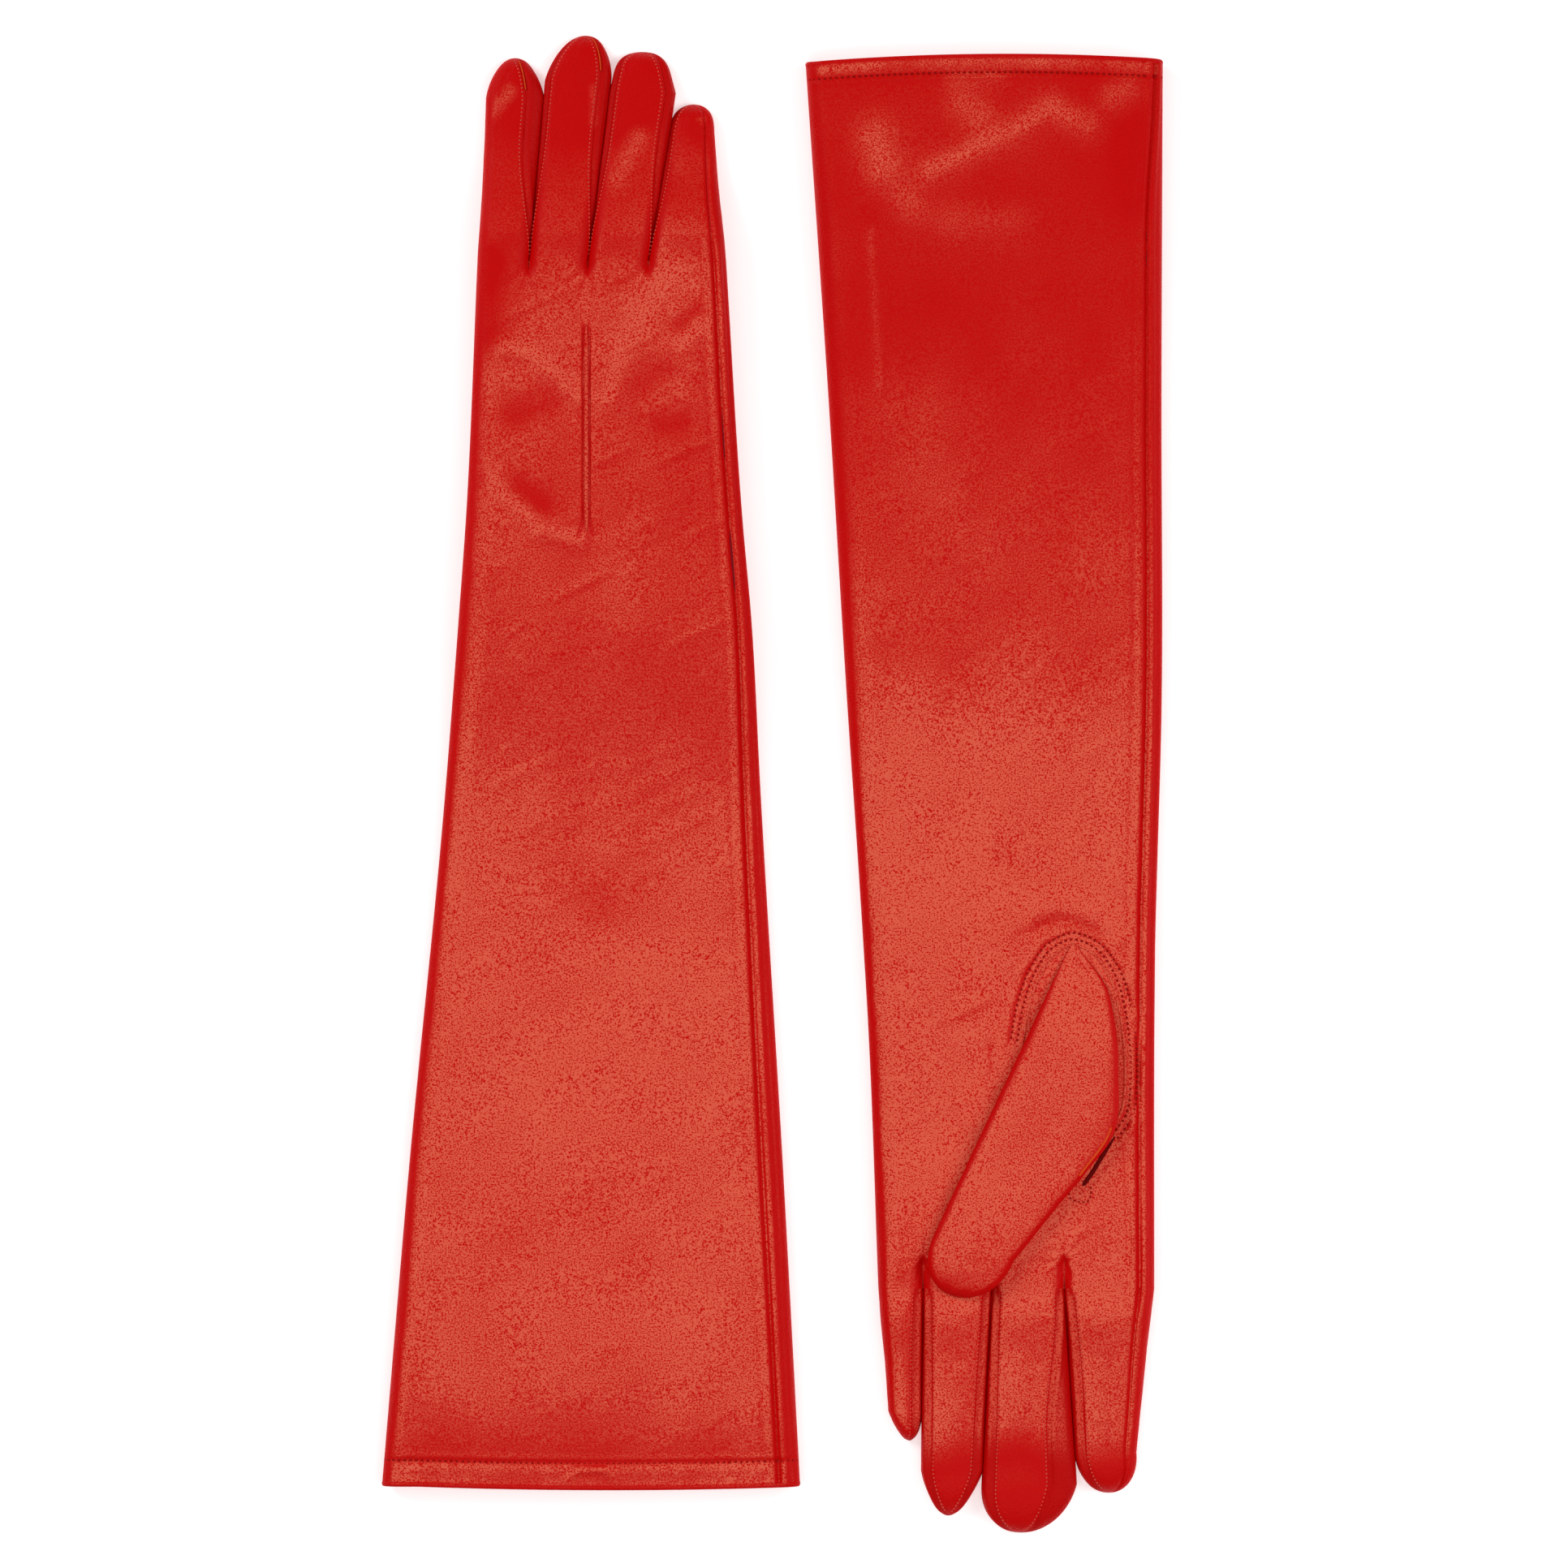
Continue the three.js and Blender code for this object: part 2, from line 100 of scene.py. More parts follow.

# The painted sheen shows where the leather faces up, and more where it leans one way, towards the light; where
# it turns away, painted shade darkens it.
FACING = (0.86, 0.998)
TILT, TILT_LIMITS = 6.0, (0.5, 1.35)
SHEEN_WAY = (-0.6, 0.8)
# How much of the painted sheen the thumb gets.
THUMB_PAINTED_SHEEN = 0.85
# Painted highlight along the ridge of each fork, beside the palm's seam.
FORK_PAINTED_HIGHLIGHT = 0.6
OVAL = (  # the seam that sets the thumb into the palm
    (-31.5, -52),
    (-37, -60),
    (-38.6, -72),
    (-38.2, -84),
    (-36.8, -95),
    (-33.2, -108),
    (-26.5, -117.2),
    (-18.2, -120.4),
    (-11, -117),
    (-5, -108),
    (-1.4, -97),
    (0.8, -84.5),
)


# --- Mathematics ---


def smoothstep(low, high, x):
    t = np.clip((x - low) / (high - low), 0, 1)
    return t * t * (3 - 2 * t)


def hump(x, width):
    return np.exp(-((x / width) ** 2))


def noise(u, v, cell_u, cell_v, seed):
    """Smooth values from -1 to 1 over a plane, in cells of the given size."""
    size = 64
    lattice = np.random.default_rng(seed).uniform(-1, 1, (size, size))
    x, y = np.asarray(u) / cell_u, np.asarray(v) / cell_v
    i, j = np.floor(x).astype(int), np.floor(y).astype(int)
    fx, fy = smoothstep(0, 1, x - i), smoothstep(0, 1, y - j)
    near = lattice[i % size, j % size] * (1 - fx) + lattice[(i + 1) % size, j % size] * fx
    far = lattice[i % size, (j + 1) % size] * (1 - fx) + lattice[(i + 1) % size, (j + 1) % size] * fx
    return near * (1 - fy) + far * fy


def turned_noise(u, v, angle, along, across, seed):
    """Noise drawn out along a direction, as creases are."""
    c, s = math.cos(math.radians(angle)), math.sin(math.radians(angle))
    return noise(u * c + v * s, -u * s + v * c, along, across, seed)


def curve(xs, ys):
    """A smooth curve through points whose x rises."""
    xs, ys = np.asarray(xs, float), np.asarray(ys, float)
    slopes = np.gradient(ys, xs)

    def at(x):
        x = np.clip(x, xs[0], xs[-1])
        i = np.clip(np.searchsorted(xs, x) - 1, 0, len(xs) - 2)
        span = xs[i + 1] - xs[i]
        t = (x - xs[i]) / span
        rise = (2 * t**3 - 3 * t**2 + 1) * ys[i] + (3 * t**2 - 2 * t**3) * ys[i + 1]
        return rise + span * ((t**3 - 2 * t**2 + t) * slopes[i] + (t**3 - t**2) * slopes[i + 1])

    return at


def spread(length, middle_step, edge=(0, 0.25, 0.5, 0.8, 1.2, 1.7, 2.4, 3.3)):
    """Shares from 0 to 1 across a piece of that width, close together beside its edges."""
    edge = np.array(edge) / length
    count = max(3, round(length / middle_step))
    middle = np.linspace(edge[-1], 1 - edge[-1], count)
    return np.concatenate([edge[:-1], middle, 1 - edge[:-1][::-1]])


def smooth_line(points, step):
    """Points at even steps along a smooth line through the given ones."""
    points = np.array(points, float)
    reach = np.concatenate([[0], np.cumsum(np.linalg.norm(np.diff(points, axis=0), axis=1))])
    at = np.linspace(0, reach[-1], max(4, round(reach[-1] / step)))
    return np.stack([curve(reach, points[:, k])(at) for k in range(points.shape[1])], axis=-1)


def sideways(line, offset):
    """A line in the (u, v) plane moved sideways, to its left."""
    along = np.gradient(line, axis=0)
    along /= np.linalg.norm(along, axis=1, keepdims=True)
    return line + offset * np.stack([-along[:, 1], along[:, 0]], axis=-1)


def line_distance(u, v, line):
    """Distance of each point from a line of straight parts."""
    nearest = np.full(np.shape(u), np.inf)
    for (au, av), (bu, bv) in zip(line, line[1:]):
        du, dv = bu - au, bv - av
        t = np.clip(((u - au) * du + (v - av) * dv) / (du * du + dv * dv), 0, 1)
        nearest = np.minimum(nearest, np.hypot(u - au - t * du, v - av - t * dv))
    return nearest


# --- Flattened tubes ---


class Tube:
    """A flattened tube: at each v, its edges, middle height, half height and how far in its edges are rounded.

    A way round it runs from 0 at its +u edge, over its back to 2 at its -u edge, and over its palm to 4."""

    def __init__(self, up, left, right, middle, half, reach, crown, lobes=None):
        self.up, self.left, self.right = up, left, right
        self.middle, self.half, self.reach, self.crown = middle, half, reach, crown
        self.lobes = lobes

    def arc(self, v):
        wide = (self.right(v) - self.left(v)) / 2
        reach = np.minimum(self.reach(v), wide * 0.98)
        half = self.half(v)
        return wide, reach, half, np.pi / 2 * np.sqrt((reach**2 + half**2) / 2)

    def quarter(self, v):
        """Length of a quarter of the way round."""
        wide, reach, _, arc = self.arc(v)
        return arc + wide - reach

    def inset(self, v, inset):
        """Share of a quarter between an edge and a line inset from it."""
        wide, reach, _, arc = self.arc(v)
        share = arc / (arc + wide - reach)
        inset = np.clip(inset, 0, wide)
        on_arc = share * np.arccos(np.clip(1 - inset / reach, 0, 1)) / (np.pi / 2)
        flat = share + (1 - share) * (inset - reach) / np.maximum(wide - reach, 1e-3)
        return np.where(inset < reach, on_arc, flat)

    def points(self, v, way, lift=0.0):
        """Points at v and way, raised off the surface by lift. All three are arrays of one shape."""
        wide, reach, half, arc = self.arc(v)
        share = arc / (arc + wide - reach)
        quarter = np.floor(way).astype(int) % 4
        t = way - np.floor(way)
        s = np.where(quarter % 2 == 0, t, 1 - t)
        to_little = np.where((quarter == 0) | (quarter == 3), 1.0, -1.0)
        to_back = np.where(quarter < 2, 1.0, -1.0) * self.up
        angle = np.clip(s / share, 0, 1) * np.pi / 2
        flat = np.clip((s - share) / np.maximum(1 - share, 1e-6), 0, 1)
        x = np.where(s < share, wide - reach + reach * np.cos(angle), (wide - reach) * (1 - flat))
        rise = half * np.sin(angle) + self.crown(v) * (1 - (1 - flat) ** 2)
        normal_x = np.cos(angle) / reach
        normal_z = np.sin(angle) / np.maximum(half, 1e-3)
        size = np.hypot(normal_x, normal_z) + 1e-9
        u = (self.left(v) + self.right(v)) / 2 + to_little * (x + lift * normal_x / size)
        if self.lobes:
            rise = rise * self.lobes(u, v, to_back * self.up)
        z = self.middle(v) + to_back * (rise + lift * normal_z / size)
        return np.stack([u, v, z], axis=-1)

    def shrunk(self, depth):
        """The same tube, a depth inside it."""
        return Tube(
            self.up,
            lambda v: self.left(v) + depth,
            lambda v: self.right(v) - depth,
            self.middle,
            lambda v: np.maximum(self.half(v) - depth, self.half(v) * 0.35),
            lambda v: np.maximum(self.reach(v) - depth, 1.0),
            self.crown,
            self.lobes,
        )


# --- Meshes ---


def skin_faces(rows, columns, closed):
    """Quads of a closed skin between an outer and an inner grid of points."""
    count = rows * columns
    wrap = np.arange(columns if closed else columns - 1)
    i, j = np.meshgrid(np.arange(rows - 1), wrap, indexing="ij")
    a, b = (i * columns + j).ravel(), (i * columns + (j + 1) % columns).ravel()
    c, d = b + columns, a + columns
    faces = [np.stack([a, b, c, d], 1), np.stack([d, c, b, a], 1) + count]
    first, after = wrap, (wrap + 1) % columns
    last = (rows - 1) * columns
    faces.append(np.stack([first, first + count, after + count, after], 1))
    faces.append(np.stack([after, after + count, first + count, first], 1) + last)
    if not closed:
        near = np.arange(rows - 1) * columns
        far = near + columns
        faces.append(np.stack([near, far, far + count, near + count], 1))
        end = columns - 1
        faces.append(np.stack([far, near, near + count, far + count], 1) + end)
    return np.concatenate(faces)


def new_mesh(name, glove, points, faces, tone=None, rims=None, normals=None, painted_highlight=0.0):
    """Makes a mesh from quads whose points are in the glove's frame, facing outwards. Edges between rim
    points are sharp, so that a piece's smooth face runs on into the next piece's."""
    points = np.asarray(points, float).reshape(-1, 3)
    world = glove.to_world(points)
    world[:, 2] = np.maximum(world[:, 2], 0)
    a, b, c, d = (world[faces[:, k]] for k in range(4))
    volume = (a * np.cross(b, c)).sum() + (a * np.cross(c, d)).sum()
    if volume < 0:
        faces = faces[:, ::-1]
    mesh = bpy.data.meshes.new(name)
    mesh.vertices.add(len(world))
    mesh.vertices.foreach_set("co", (world * MM).astype(np.float32).ravel())
    mesh.loops.add(faces.size)
    mesh.loops.foreach_set("vertex_index", np.ascontiguousarray(faces, np.int32).ravel())
    mesh.polygons.add(len(faces))
    mesh.polygons.foreach_set("loop_start", np.arange(0, faces.size, 4, dtype=np.int32))
    mesh.update(calc_edges=True)
    mesh.polygons.foreach_set("use_smooth", np.ones(len(faces), bool))
    if rims is not None:
        ends = np.empty(len(mesh.edges) * 2, np.int32)
        mesh.edges.foreach_get("vertices", ends)
        sharp = rims[ends.reshape(-1, 2)].all(axis=1)
        mesh.attributes.new("sharp_edge", "BOOLEAN", "EDGE").data.foreach_set("value", sharp)
    if tone is not None:
        if normals is None:
            normals = np.empty(len(world) * 3, np.float32)
            mesh.vertices.foreach_get("normal", normals)
            normals = normals.reshape(-1, 3)
        # Painted shade where the leather turns away from the table or sinks into a groove, and painted light or
        # shade by how it leans towards the light, stored per point for the leather's colour; a fork's painted
        # highlight is added on top.
        facing = smoothstep(*FACING, np.abs(normals[:, 2]))
        tilt = np.clip(1 + TILT * (normals[:, :2] @ np.array(SHEEN_WAY)), *TILT_LIMITS)
        attribute = mesh.attributes.new("painted_light", "FLOAT", "POINT")
        attribute.data.foreach_set("value", (tone * facing * tilt + painted_highlight).astype(np.float32))
    made = bpy.data.objects.new(name, mesh)
    bpy.context.scene.collection.objects.link(made)
    return made


def grid_normals(glove, grid, closed):
    """The table's way out of a grid of points, whose own rims don't round it off."""
    world = glove.to_world(grid)
    if closed:
        world = np.concatenate([world[:, -1:], world, world[:, :1]], axis=1)
    normals = np.cross(np.gradient(world, axis=0), np.gradient(world, axis=1))
    normals /= np.linalg.norm(normals, axis=-1, keepdims=True) + 1e-9
    normals *= np.where(normals[..., 2:] < 0, -1, 1)
    return (normals[:, 1:-1] if closed else normals).reshape(-1, 3)


# The painted sheen and shade at each point of a piece.
def painted_light_at(glove, points):
    return glove.tone(points[:, 0], points[:, 1])


def skin(name, glove, tube, v, ways, relief, thick, closed=False, painted_highlight=None):
    """A skin over a tube. v is a column of rows, ways a row or grid, and relief a grid of heights."""
    grid_v = np.broadcast_to(v, ways.shape)
    outer = tube.points(grid_v, ways, relief)
    inner = tube.shrunk(thick).points(grid_v, ways, np.minimum(relief, 0))
    outer[..., 2], inner[..., 2] = np.maximum(outer[..., 2], 0.02), np.maximum(inner[..., 2], 0.1)
    rows, columns = ways.shape
    points = np.concatenate([outer.reshape(-1, 3), inner.reshape(-1, 3)])
    faces = skin_faces(rows, columns, closed)
    rims = np.zeros((2, rows, columns), bool)
    rims[:, [0, -1]] = True
    normals = np.tile(grid_normals(glove, outer, closed), (2, 1))
    painted_highlight = 0.0 if painted_highlight is None else np.tile(painted_highlight.ravel(), 2)
    return new_mesh(name, glove, points, faces, painted_light_at(glove, points), rims.ravel(), normals, painted_highlight)


def bar(line, normals, width, height, sides=6):
    """Rings of a thin bar along a line: a stitch, a cord of thread or a raw edge."""
    along = np.gradient(line, axis=0)
    along /= np.linalg.norm(along, axis=1, keepdims=True) + 1e-9
    across = np.cross(along, normals)
    across /= np.linalg.norm(across, axis=1, keepdims=True) + 1e-9
    turn = np.linspace(0, 2 * np.pi, sides, endpoint=False)
    taper = np.ones(len(line))
    taper[[0, -1]] = 0.35
    ring = np.cos(turn)[None, :, None] * across[:, None] * width / 2
    ring = ring + np.sin(turn)[None, :, None] * normals[:, None] * height / 2
    return line[:, None] + ring * taper[:, None, None]


def bar_faces(rows, sides):
    i, j = np.meshgrid(np.arange(rows - 1), np.arange(sides), indexing="ij")
    a, b = (i * sides + j).ravel(), (i * sides + (j + 1) % sides).ravel()
    faces = [np.stack([a, b, b + sides, a + sides], 1)]
    for start in (0, (rows - 1) * sides):
        end = [[start, start + 1, start + 2, start + 3], [start, start + 3, start + 4, start + 5]]
        faces.append(np.array(end) if start else np.array(end)[:, ::-1])
    return np.concatenate(faces)


def stitch_row(line, normals, pitch, length, width=0.45, height=0.4):
    """Bars for a row of stitches along a line of points."""
    reach = np.concatenate([[0], np.cumsum(np.linalg.norm(np.diff(line, axis=0), axis=1))])
    bars = []
    for start in np.arange(pitch / 2, reach[-1] - length, pitch):
        at = start + np.array([0, 0.25, 0.75, 1]) * length
        place = np.stack([np.interp(at, reach, line[:, k]) for k in range(3)], -1)
        up = np.stack([np.interp(at, reach, normals[:, k]) for k in range(3)], -1)
        dip = np.array([-0.22, 0.04, 0.04, -0.22])[:, None]
        bars.append(bar(place + up * dip, up, width, height))
    return bars


def bars_mesh(name, glove, bars):
    """One mesh of separate bars, which may differ in length."""
    points, faces, count = [], [], 0
    for rings in bars:
        rows, sides = rings.shape[:2]
        points.append(rings.reshape(-1, 3))
        faces.append(bar_faces(rows, sides) + count)
        count += rows * sides
    return new_mesh(name, glove, np.concatenate(points), np.concatenate(faces))


# --- The gloves' shapes, from the frame ---

# Painted sheen along each glove, where the soft light above the table shows on the leather: v, then how much
# paler it is, from 0, deep red, to 1.
PAINTED_SHEEN_ROWS = {
    "right": ((-422, 0.08), (-411, 0.22), (-395, 0.55), (-330, 0.7), (-230, 0.92), (-170, 0.7), (-120, 0.4),
              (-60, 0.33), (-34, 0.5), (-12, 0.52), (0, 0.4), (8, 0.26), (30, 0.14), (42, 0.03), (90, 0.0)),
    "left": ((-423, 0.03), (-395, 0.04), (-335, 0.08), (-296, 0.12), (-250, 0.3), (-214, 0.5), (-190, 0.92),
             (-120, 0.98), (-30, 0.9), (0, 0.8), (20, 0.74), (46, 0.7), (54, 0.12), (68, 0.0), (95, 0.0)),
}  # fmt: skip

# Seams of each finger as shares of its half width in from its edges: on its back at its index finger's side
# and its little finger's side, then on its palm side likewise.
FINGER_SEAMS = {
    "right": {
        "index": (None, 0.62, 0.36, 0.25),
        "middle": (0.13, 0.34, 0.25, 0.25),
        "ring": (0.16, 0.3, 0.25, 0.25),
        "little": (0.13, 0.42, 0.25, None),
    },
    "left": {
        "index": (None, 0.2, 0.34, 0.3),
        "middle": (0.2, 0.2, 0.56, 0.22),
        "ring": (0.2, 0.2, 0.28, 0.26),
        "little": (0.2, 0.4, 0.48, None),
    },
}
# Each fingertip's outline: how much it narrows on the way to its end, and how square its end is.
TIPS = {
    "right": {"index": (0.2, 2.0), "middle": (0.15, 2.0), "ring": (0.3, 6.0), "little": (0.15, 3.5)},
    "left": {"index": (0.05, 2.3), "middle": (0.1, 2.3), "ring": (0.35, 1.9), "little": (0.35, 2.2)},
}
# Where the leather lies in soft folds on the face that shows, and where painted highlights and shade fall on
# it: a line, its half width, its height and the change in its painted sheen, a highlight where it rises and
# shade where it falls.
FOLDS = {
    "right": (
        (((-32.2, -30.5), (-22.7, -33.0), (-16.0, -39.2), (-7.0, -48.2)), 3.0, 0.75, 0.34),
        (((-16.0, -47.0), (-28.3, -53.0)), 7.0, -0.45, -0.25),
        (((-36.4, -75.3), (-31.6, -82.0), (-19.3, -93.5), (-7.0, -96.9)), 3.2, 0.7, 0.3),
        (((-26.9, -79.0), (-20.0, -84.0)), 7.0, -0.4, -0.22),
        (((23.5, -6.7), (14.6, -22.4), (5.0, -46.8)), 5.5, 0.5, 0.2),
        (((30.5, -28.5), (35.0, -25.5)), 3.6, 0.4, 0.25),
        (((28.0, -24.0), (34.0, -18.0)), 3.2, -0.4, -0.25),
        (((15.0, -43.0), (24.0, -38.0)), 5.5, -0.3, -0.2),
        (((22.0, -57.0), (29.0, -56.0)), 5.0, -0.3, -0.2),
        (((1.1, -38.0), (1.1, -43.0)), 3.5, -0.2, -0.15),
        (((-38.0, -2.0), (-38.0, -26.0)), 10.0, 0.0, -0.4),
        (((-8.0, -222.0), (28.0, -228.0)), 13.0, -0.3, -0.2),
        (((-31.0, 58.5), (-37.5, 51.5)), 2.4, 0.0, 0.3),
        (((13.7, 42.3), (5.5, 27.0)), 3.2, 0.0, 0.32),
        (((35.6, 50.4), (35.2, 49.4)), 1.6, 0.0, 0.35),
        (((-2.0, 59.6), (-2.0, 48.0)), 1.6, 0.0, 0.25),
        (((-11.2, -419.0), (-7.3, -415.8), (1.4, -415.3), (6.3, -419.5)), 1.3, 1.4, 0.25),
    ),
    "left": (
        (((-7.3, -124.6), (-14.3, -126.8), (-21.6, -124.3), (-28.7, -121.0)), 2.4, -0.7, -0.45),
        (((-7.0, -131.0), (-15.0, -132.5), (-26.0, -129.0)), 3.6, 0.5, 0.0),
        (((4.5, -147.0), (-18.0, -139.0), (-40.0, -133.0)), 8.0, -0.3, -0.28),
        (((3.4, -117.6), (0.5, -111.0)), 3.4, 0.35, 0.12),
        (((-31.6, -124.0), (-34.5, -119.0)), 3.4, 0.35, 0.12),
        (((9.5, -83.2), (8.8, -74.7)), 1.1, -0.4, -0.2),
        (((49.0, -396.0), (46.0, -385.0)), 6.5, 0.5, 0.25),
        (((30.0, -384.0), (18.0, -389.5), (3.0, -396.0), (-11.0, -404.5), (-24.0, -399.0)), 4.5, 0.6, 0.3),
        (((18.5, -406.0), (13.0, -402.0)), 5.5, 0.3, 0.25),
        (((-33.0, -409.0), (-37.0, -412.0)), 5.0, 0.4, 0.28),
        (((22.0, -414.6), (8.0, -415.0)), 3.5, 0.3, 0.22),
        (((38.0, -375.0), (35.5, -371.0)), 5.0, 0.3, 0.22),
        (((22.0, -366.0), (2.0, -367.0)), 6.5, 0.3, 0.18),
        (((40.0, -300.0), (20.0, -260.0)), 14.0, 0.4, 0.1),
        (((50.7, -363.0), (47.3, -310.0)), 1.8, 0.35, 0.1),
    ),
}
FOLD_PAINTED_LIGHT = 1.3  # how strongly a fold changes the painted highlight and shade
SIDE_GROWTH = 0.72  # of a finger towards its neighbour, so that the two touch
EDGE_SETTLES = 30.0  # along an outer finger, until its edge is its own
RAW_EDGES = {"right": ("index", "middle"), "left": ()}  # fingers with a raw edge beside their tips' seams


class Glove:
    """One glove: its place, and its tubes as the frame has them."""

    def __init__(self, side):
        self.side = side
        bend, swing = JOINTS[f"{side}_index_bend"], JOINTS[f"{side}_thumb_swing"]
        self.turn = 1 if bend["axis"][0] > 0 else -1
        self.up = self.turn  # the glove laid up the table lies back up, and the one laid down it palm up
        self.x = swing["pos_m"][0] / MM - self.turn * THUMB_HINGE
        self.y = bend["pos_m"][1] / MM - self.turn * KNUCKLE
        self.painted_sheen_along = curve(*zip(*PAINTED_SHEEN_ROWS[side]))
        self.hem = -1000.0
        point = self.rows("back_point")
        self.point_ends = point[0, 0], point[-1, 0]
        self.point_line = curve(point[[0, -1], 0], point[[0, -1], 1:3].mean(axis=1))
        self.read_sleeve()
        self.read_fingers()
        self.read_thumb()

    def to_world(self, points):
        """From the glove's frame to the table's, with the hem bowed a little outwards."""
        place = np.array([self.x, self.y, 0])
        turned = points * np.array([self.turn, self.turn, 1]) + place
        across = np.clip((points[..., 0] - HEM_MIDDLE) / HEM_HALF, -1, 1)
        bow = HEM_BOW[self.side] * (1 - across**2) * (1 - smoothstep(self.hem, self.hem + 45, points[..., 1]))
        turned[..., 1] -= self.turn * bow
        return turned

    def world_point(self, u, v, z):
        return tuple(self.to_world(np.array([u, v, z], float)) * MM)

    def local_points(self, *nodes):
        meshes = [frame["nodes"][f"{self.side}_{node}"].data for node in nodes]
        world = [[tuple(vertex.co) for vertex in mesh.vertices] for mesh in meshes]
        points = np.concatenate(world) / MM - np.array([self.x, self.y, 0])
        return points * np.array([self.turn, self.turn, 1])

    def has(self, node):
        return f"{self.side}_{node}" in frame["nodes"]

    def rows(self, *nodes):
        """At each v where those nodes have points: v, lowest and highest u, lowest and highest z."""
        points = self.local_points(*nodes)
        at = np.round(points[:, 1], 1)
        found = []
        for v in np.unique(at):
            here = points[at == v]
            found.append([v, here[:, 0].min(), here[:, 0].max(), here[:, 2].min(), here[:, 2].max()])
        return np.array(found)

    def read_sleeve(self):
        rows = self.rows("back_fold", "palm_fold")
        self.hem = rows[0, 0]
        left, right = curve(rows[:, 0], rows[:, 1]), curve(rows[:, 0], rows[:, 2])
        low, high = curve(rows[:, 0], rows[:, 3]), curve(rows[:, 0], rows[:, 4])
        self.sleeve_low, self.sleeve_high = low, high
        self.sleeve = Tube(
            self.up,
            left,
            right,
            lambda v: (low(v) + high(v)) / 2,
            lambda v: (high(v) - low(v)) / 2,
            lambda v: 11 - 6 * smoothstep(-60, 0, v) - 4 * smoothstep(250, 400, -v),
            lambda v: CROWN * (1 - smoothstep(-30, 0, v)),
            self.lobes,
        )

    def read_fingers(self):
        self.fingers = {}
        for name in FINGERS:
            sides = (f"{name}_fork_index_side", f"{name}_fork_little_side")
            forks = [node for node in sides if self.has(node)]
            rows = self.rows(f"{name}_back", f"{name}_palm", *forks)
            start, settled, shoulder = rows[0], rows[2], rows[3]
            length = shoulder[0] / TIP_SHARE
            tip = rows[-1, 1:3].mean()
            self.fingers[name] = self.finger_tube(name, start, settled, shoulder, length, tip)

    def finger_tube(self, name, start, settled, shoulder, length, tip):
        def straight(column):
            slope = (shoulder[column] - start[column]) / (shoulder[0] - start[0])
            return lambda v: start[column] + slope * (np.minimum(v, shoulder[0]) - start[0])

        left, right = straight(1), straight(2)

        def outer(step):
            """An outer side starts in line with the sleeve's."""
            return lambda v: step * (1 - smoothstep(0, EDGE_SETTLES, v))

        to_index = outer(left(0.0) - self.sleeve.left(0.0)) if name == FINGERS[0] else lambda v: SIDE_GROWTH
        to_little = outer(self.sleeve.right(0.0) - right(0.0)) if name == FINGERS[-1] else lambda v: SIDE_GROWTH
        taper, power = TIPS[self.side][name]

        def rounding(v):
            return np.clip((v / length - TIP_SHARE) / (1 - TIP_SHARE), 0, 1)

        def edge(sign):
            def at(v):
                r = rounding(v)
                low, high = left(v) - to_index(v), right(v) + to_little(v)
                half = (high - low) / 2 * (1 - taper * r) * (1 - r**power) ** 0.5
                middle = (low + high) / 2 * (1 - r) + tip * r
                return middle + sign * half

            return at

        base = start[3]
        root, end = start[4] - start[3], shoulder[4] - shoulder[3]

        def low(v):
            return base * (1 - smoothstep(KNUCKLE, settled[0], v))

        def thick(v):
            share = np.clip((v - KNUCKLE) / (shoulder[0] - KNUCKLE), 0, 1)
            swell = self.sleeve_high(0) - self.sleeve_low(0)
            near = swell + (root - swell) * smoothstep(0, KNUCKLE, v)
            return (near * (1 - share) + end * share) * np.sqrt(1 - rounding(v) ** 3)

        tube = Tube(
            self.up,
            edge(-1),
            edge(1),
            lambda v: low(v) + thick(v) / 2,
            lambda v: thick(v) / 2,
            lambda v: 5.0 - 0.5 * smoothstep(0, 40, v),
            lambda v: CROWN * smoothstep(0, 15, v),
        )
        tube.length = length
        return tube

    def read_thumb(self):
        low, high = (corner[2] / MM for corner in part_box(f"{self.side}_thumb"))
        palm = self.sleeve_high(-70) if self.up < 0 else self.sleeve_low(-70)
        self.palm = palm
        shoulder = THUMB_EDGES[-1][0]
        ys = [row[0] for row in THUMB_EDGES]
        sewn, folded = (curve(ys, [row[k] for row in THUMB_EDGES]) for k in (1, 2))

        def rounding(y):
            return np.clip((y - shoulder) / (THUMB_LENGTH - shoulder), 0, 1)

        def edge(sign):
            def at(y):
                r = rounding(y)
                half = (folded(y) - sewn(y)) / 2 * (1 - r**2.3) ** 0.5
                middle = (folded(y) + sewn(y)) / 2 * (1 - r) + 0.9 * r
                return middle + sign * half

            return at

        full = (high - low) / 2

        def half_thick(y):
            return (0.35 + (full - 0.35) * smoothstep(-4, 34, y)) * np.sqrt(1 - rounding(y) ** 3)

        def middle(y):
            return self.palm - self.up * (half_thick(y) + 0.35)

        reach, crown = (lambda y: 4.0 + 0 * y), (lambda y: CROWN + 0 * y)
        self.thumb = Tube(1, edge(-1), edge(1), middle, half_thick, reach, crown)

    def thumb_point(self, points):
        """From the thumb's own frame, with y along it, to the glove's."""
        c, s = math.cos(THUMB_LEAN), math.sin(THUMB_LEAN)
        x, y = points[..., 0], points[..., 1]
        return np.stack([THUMB_BASE[0] + x * c + y * s, THUMB_BASE[1] - x * s + y * c, points[..., 2]], -1)

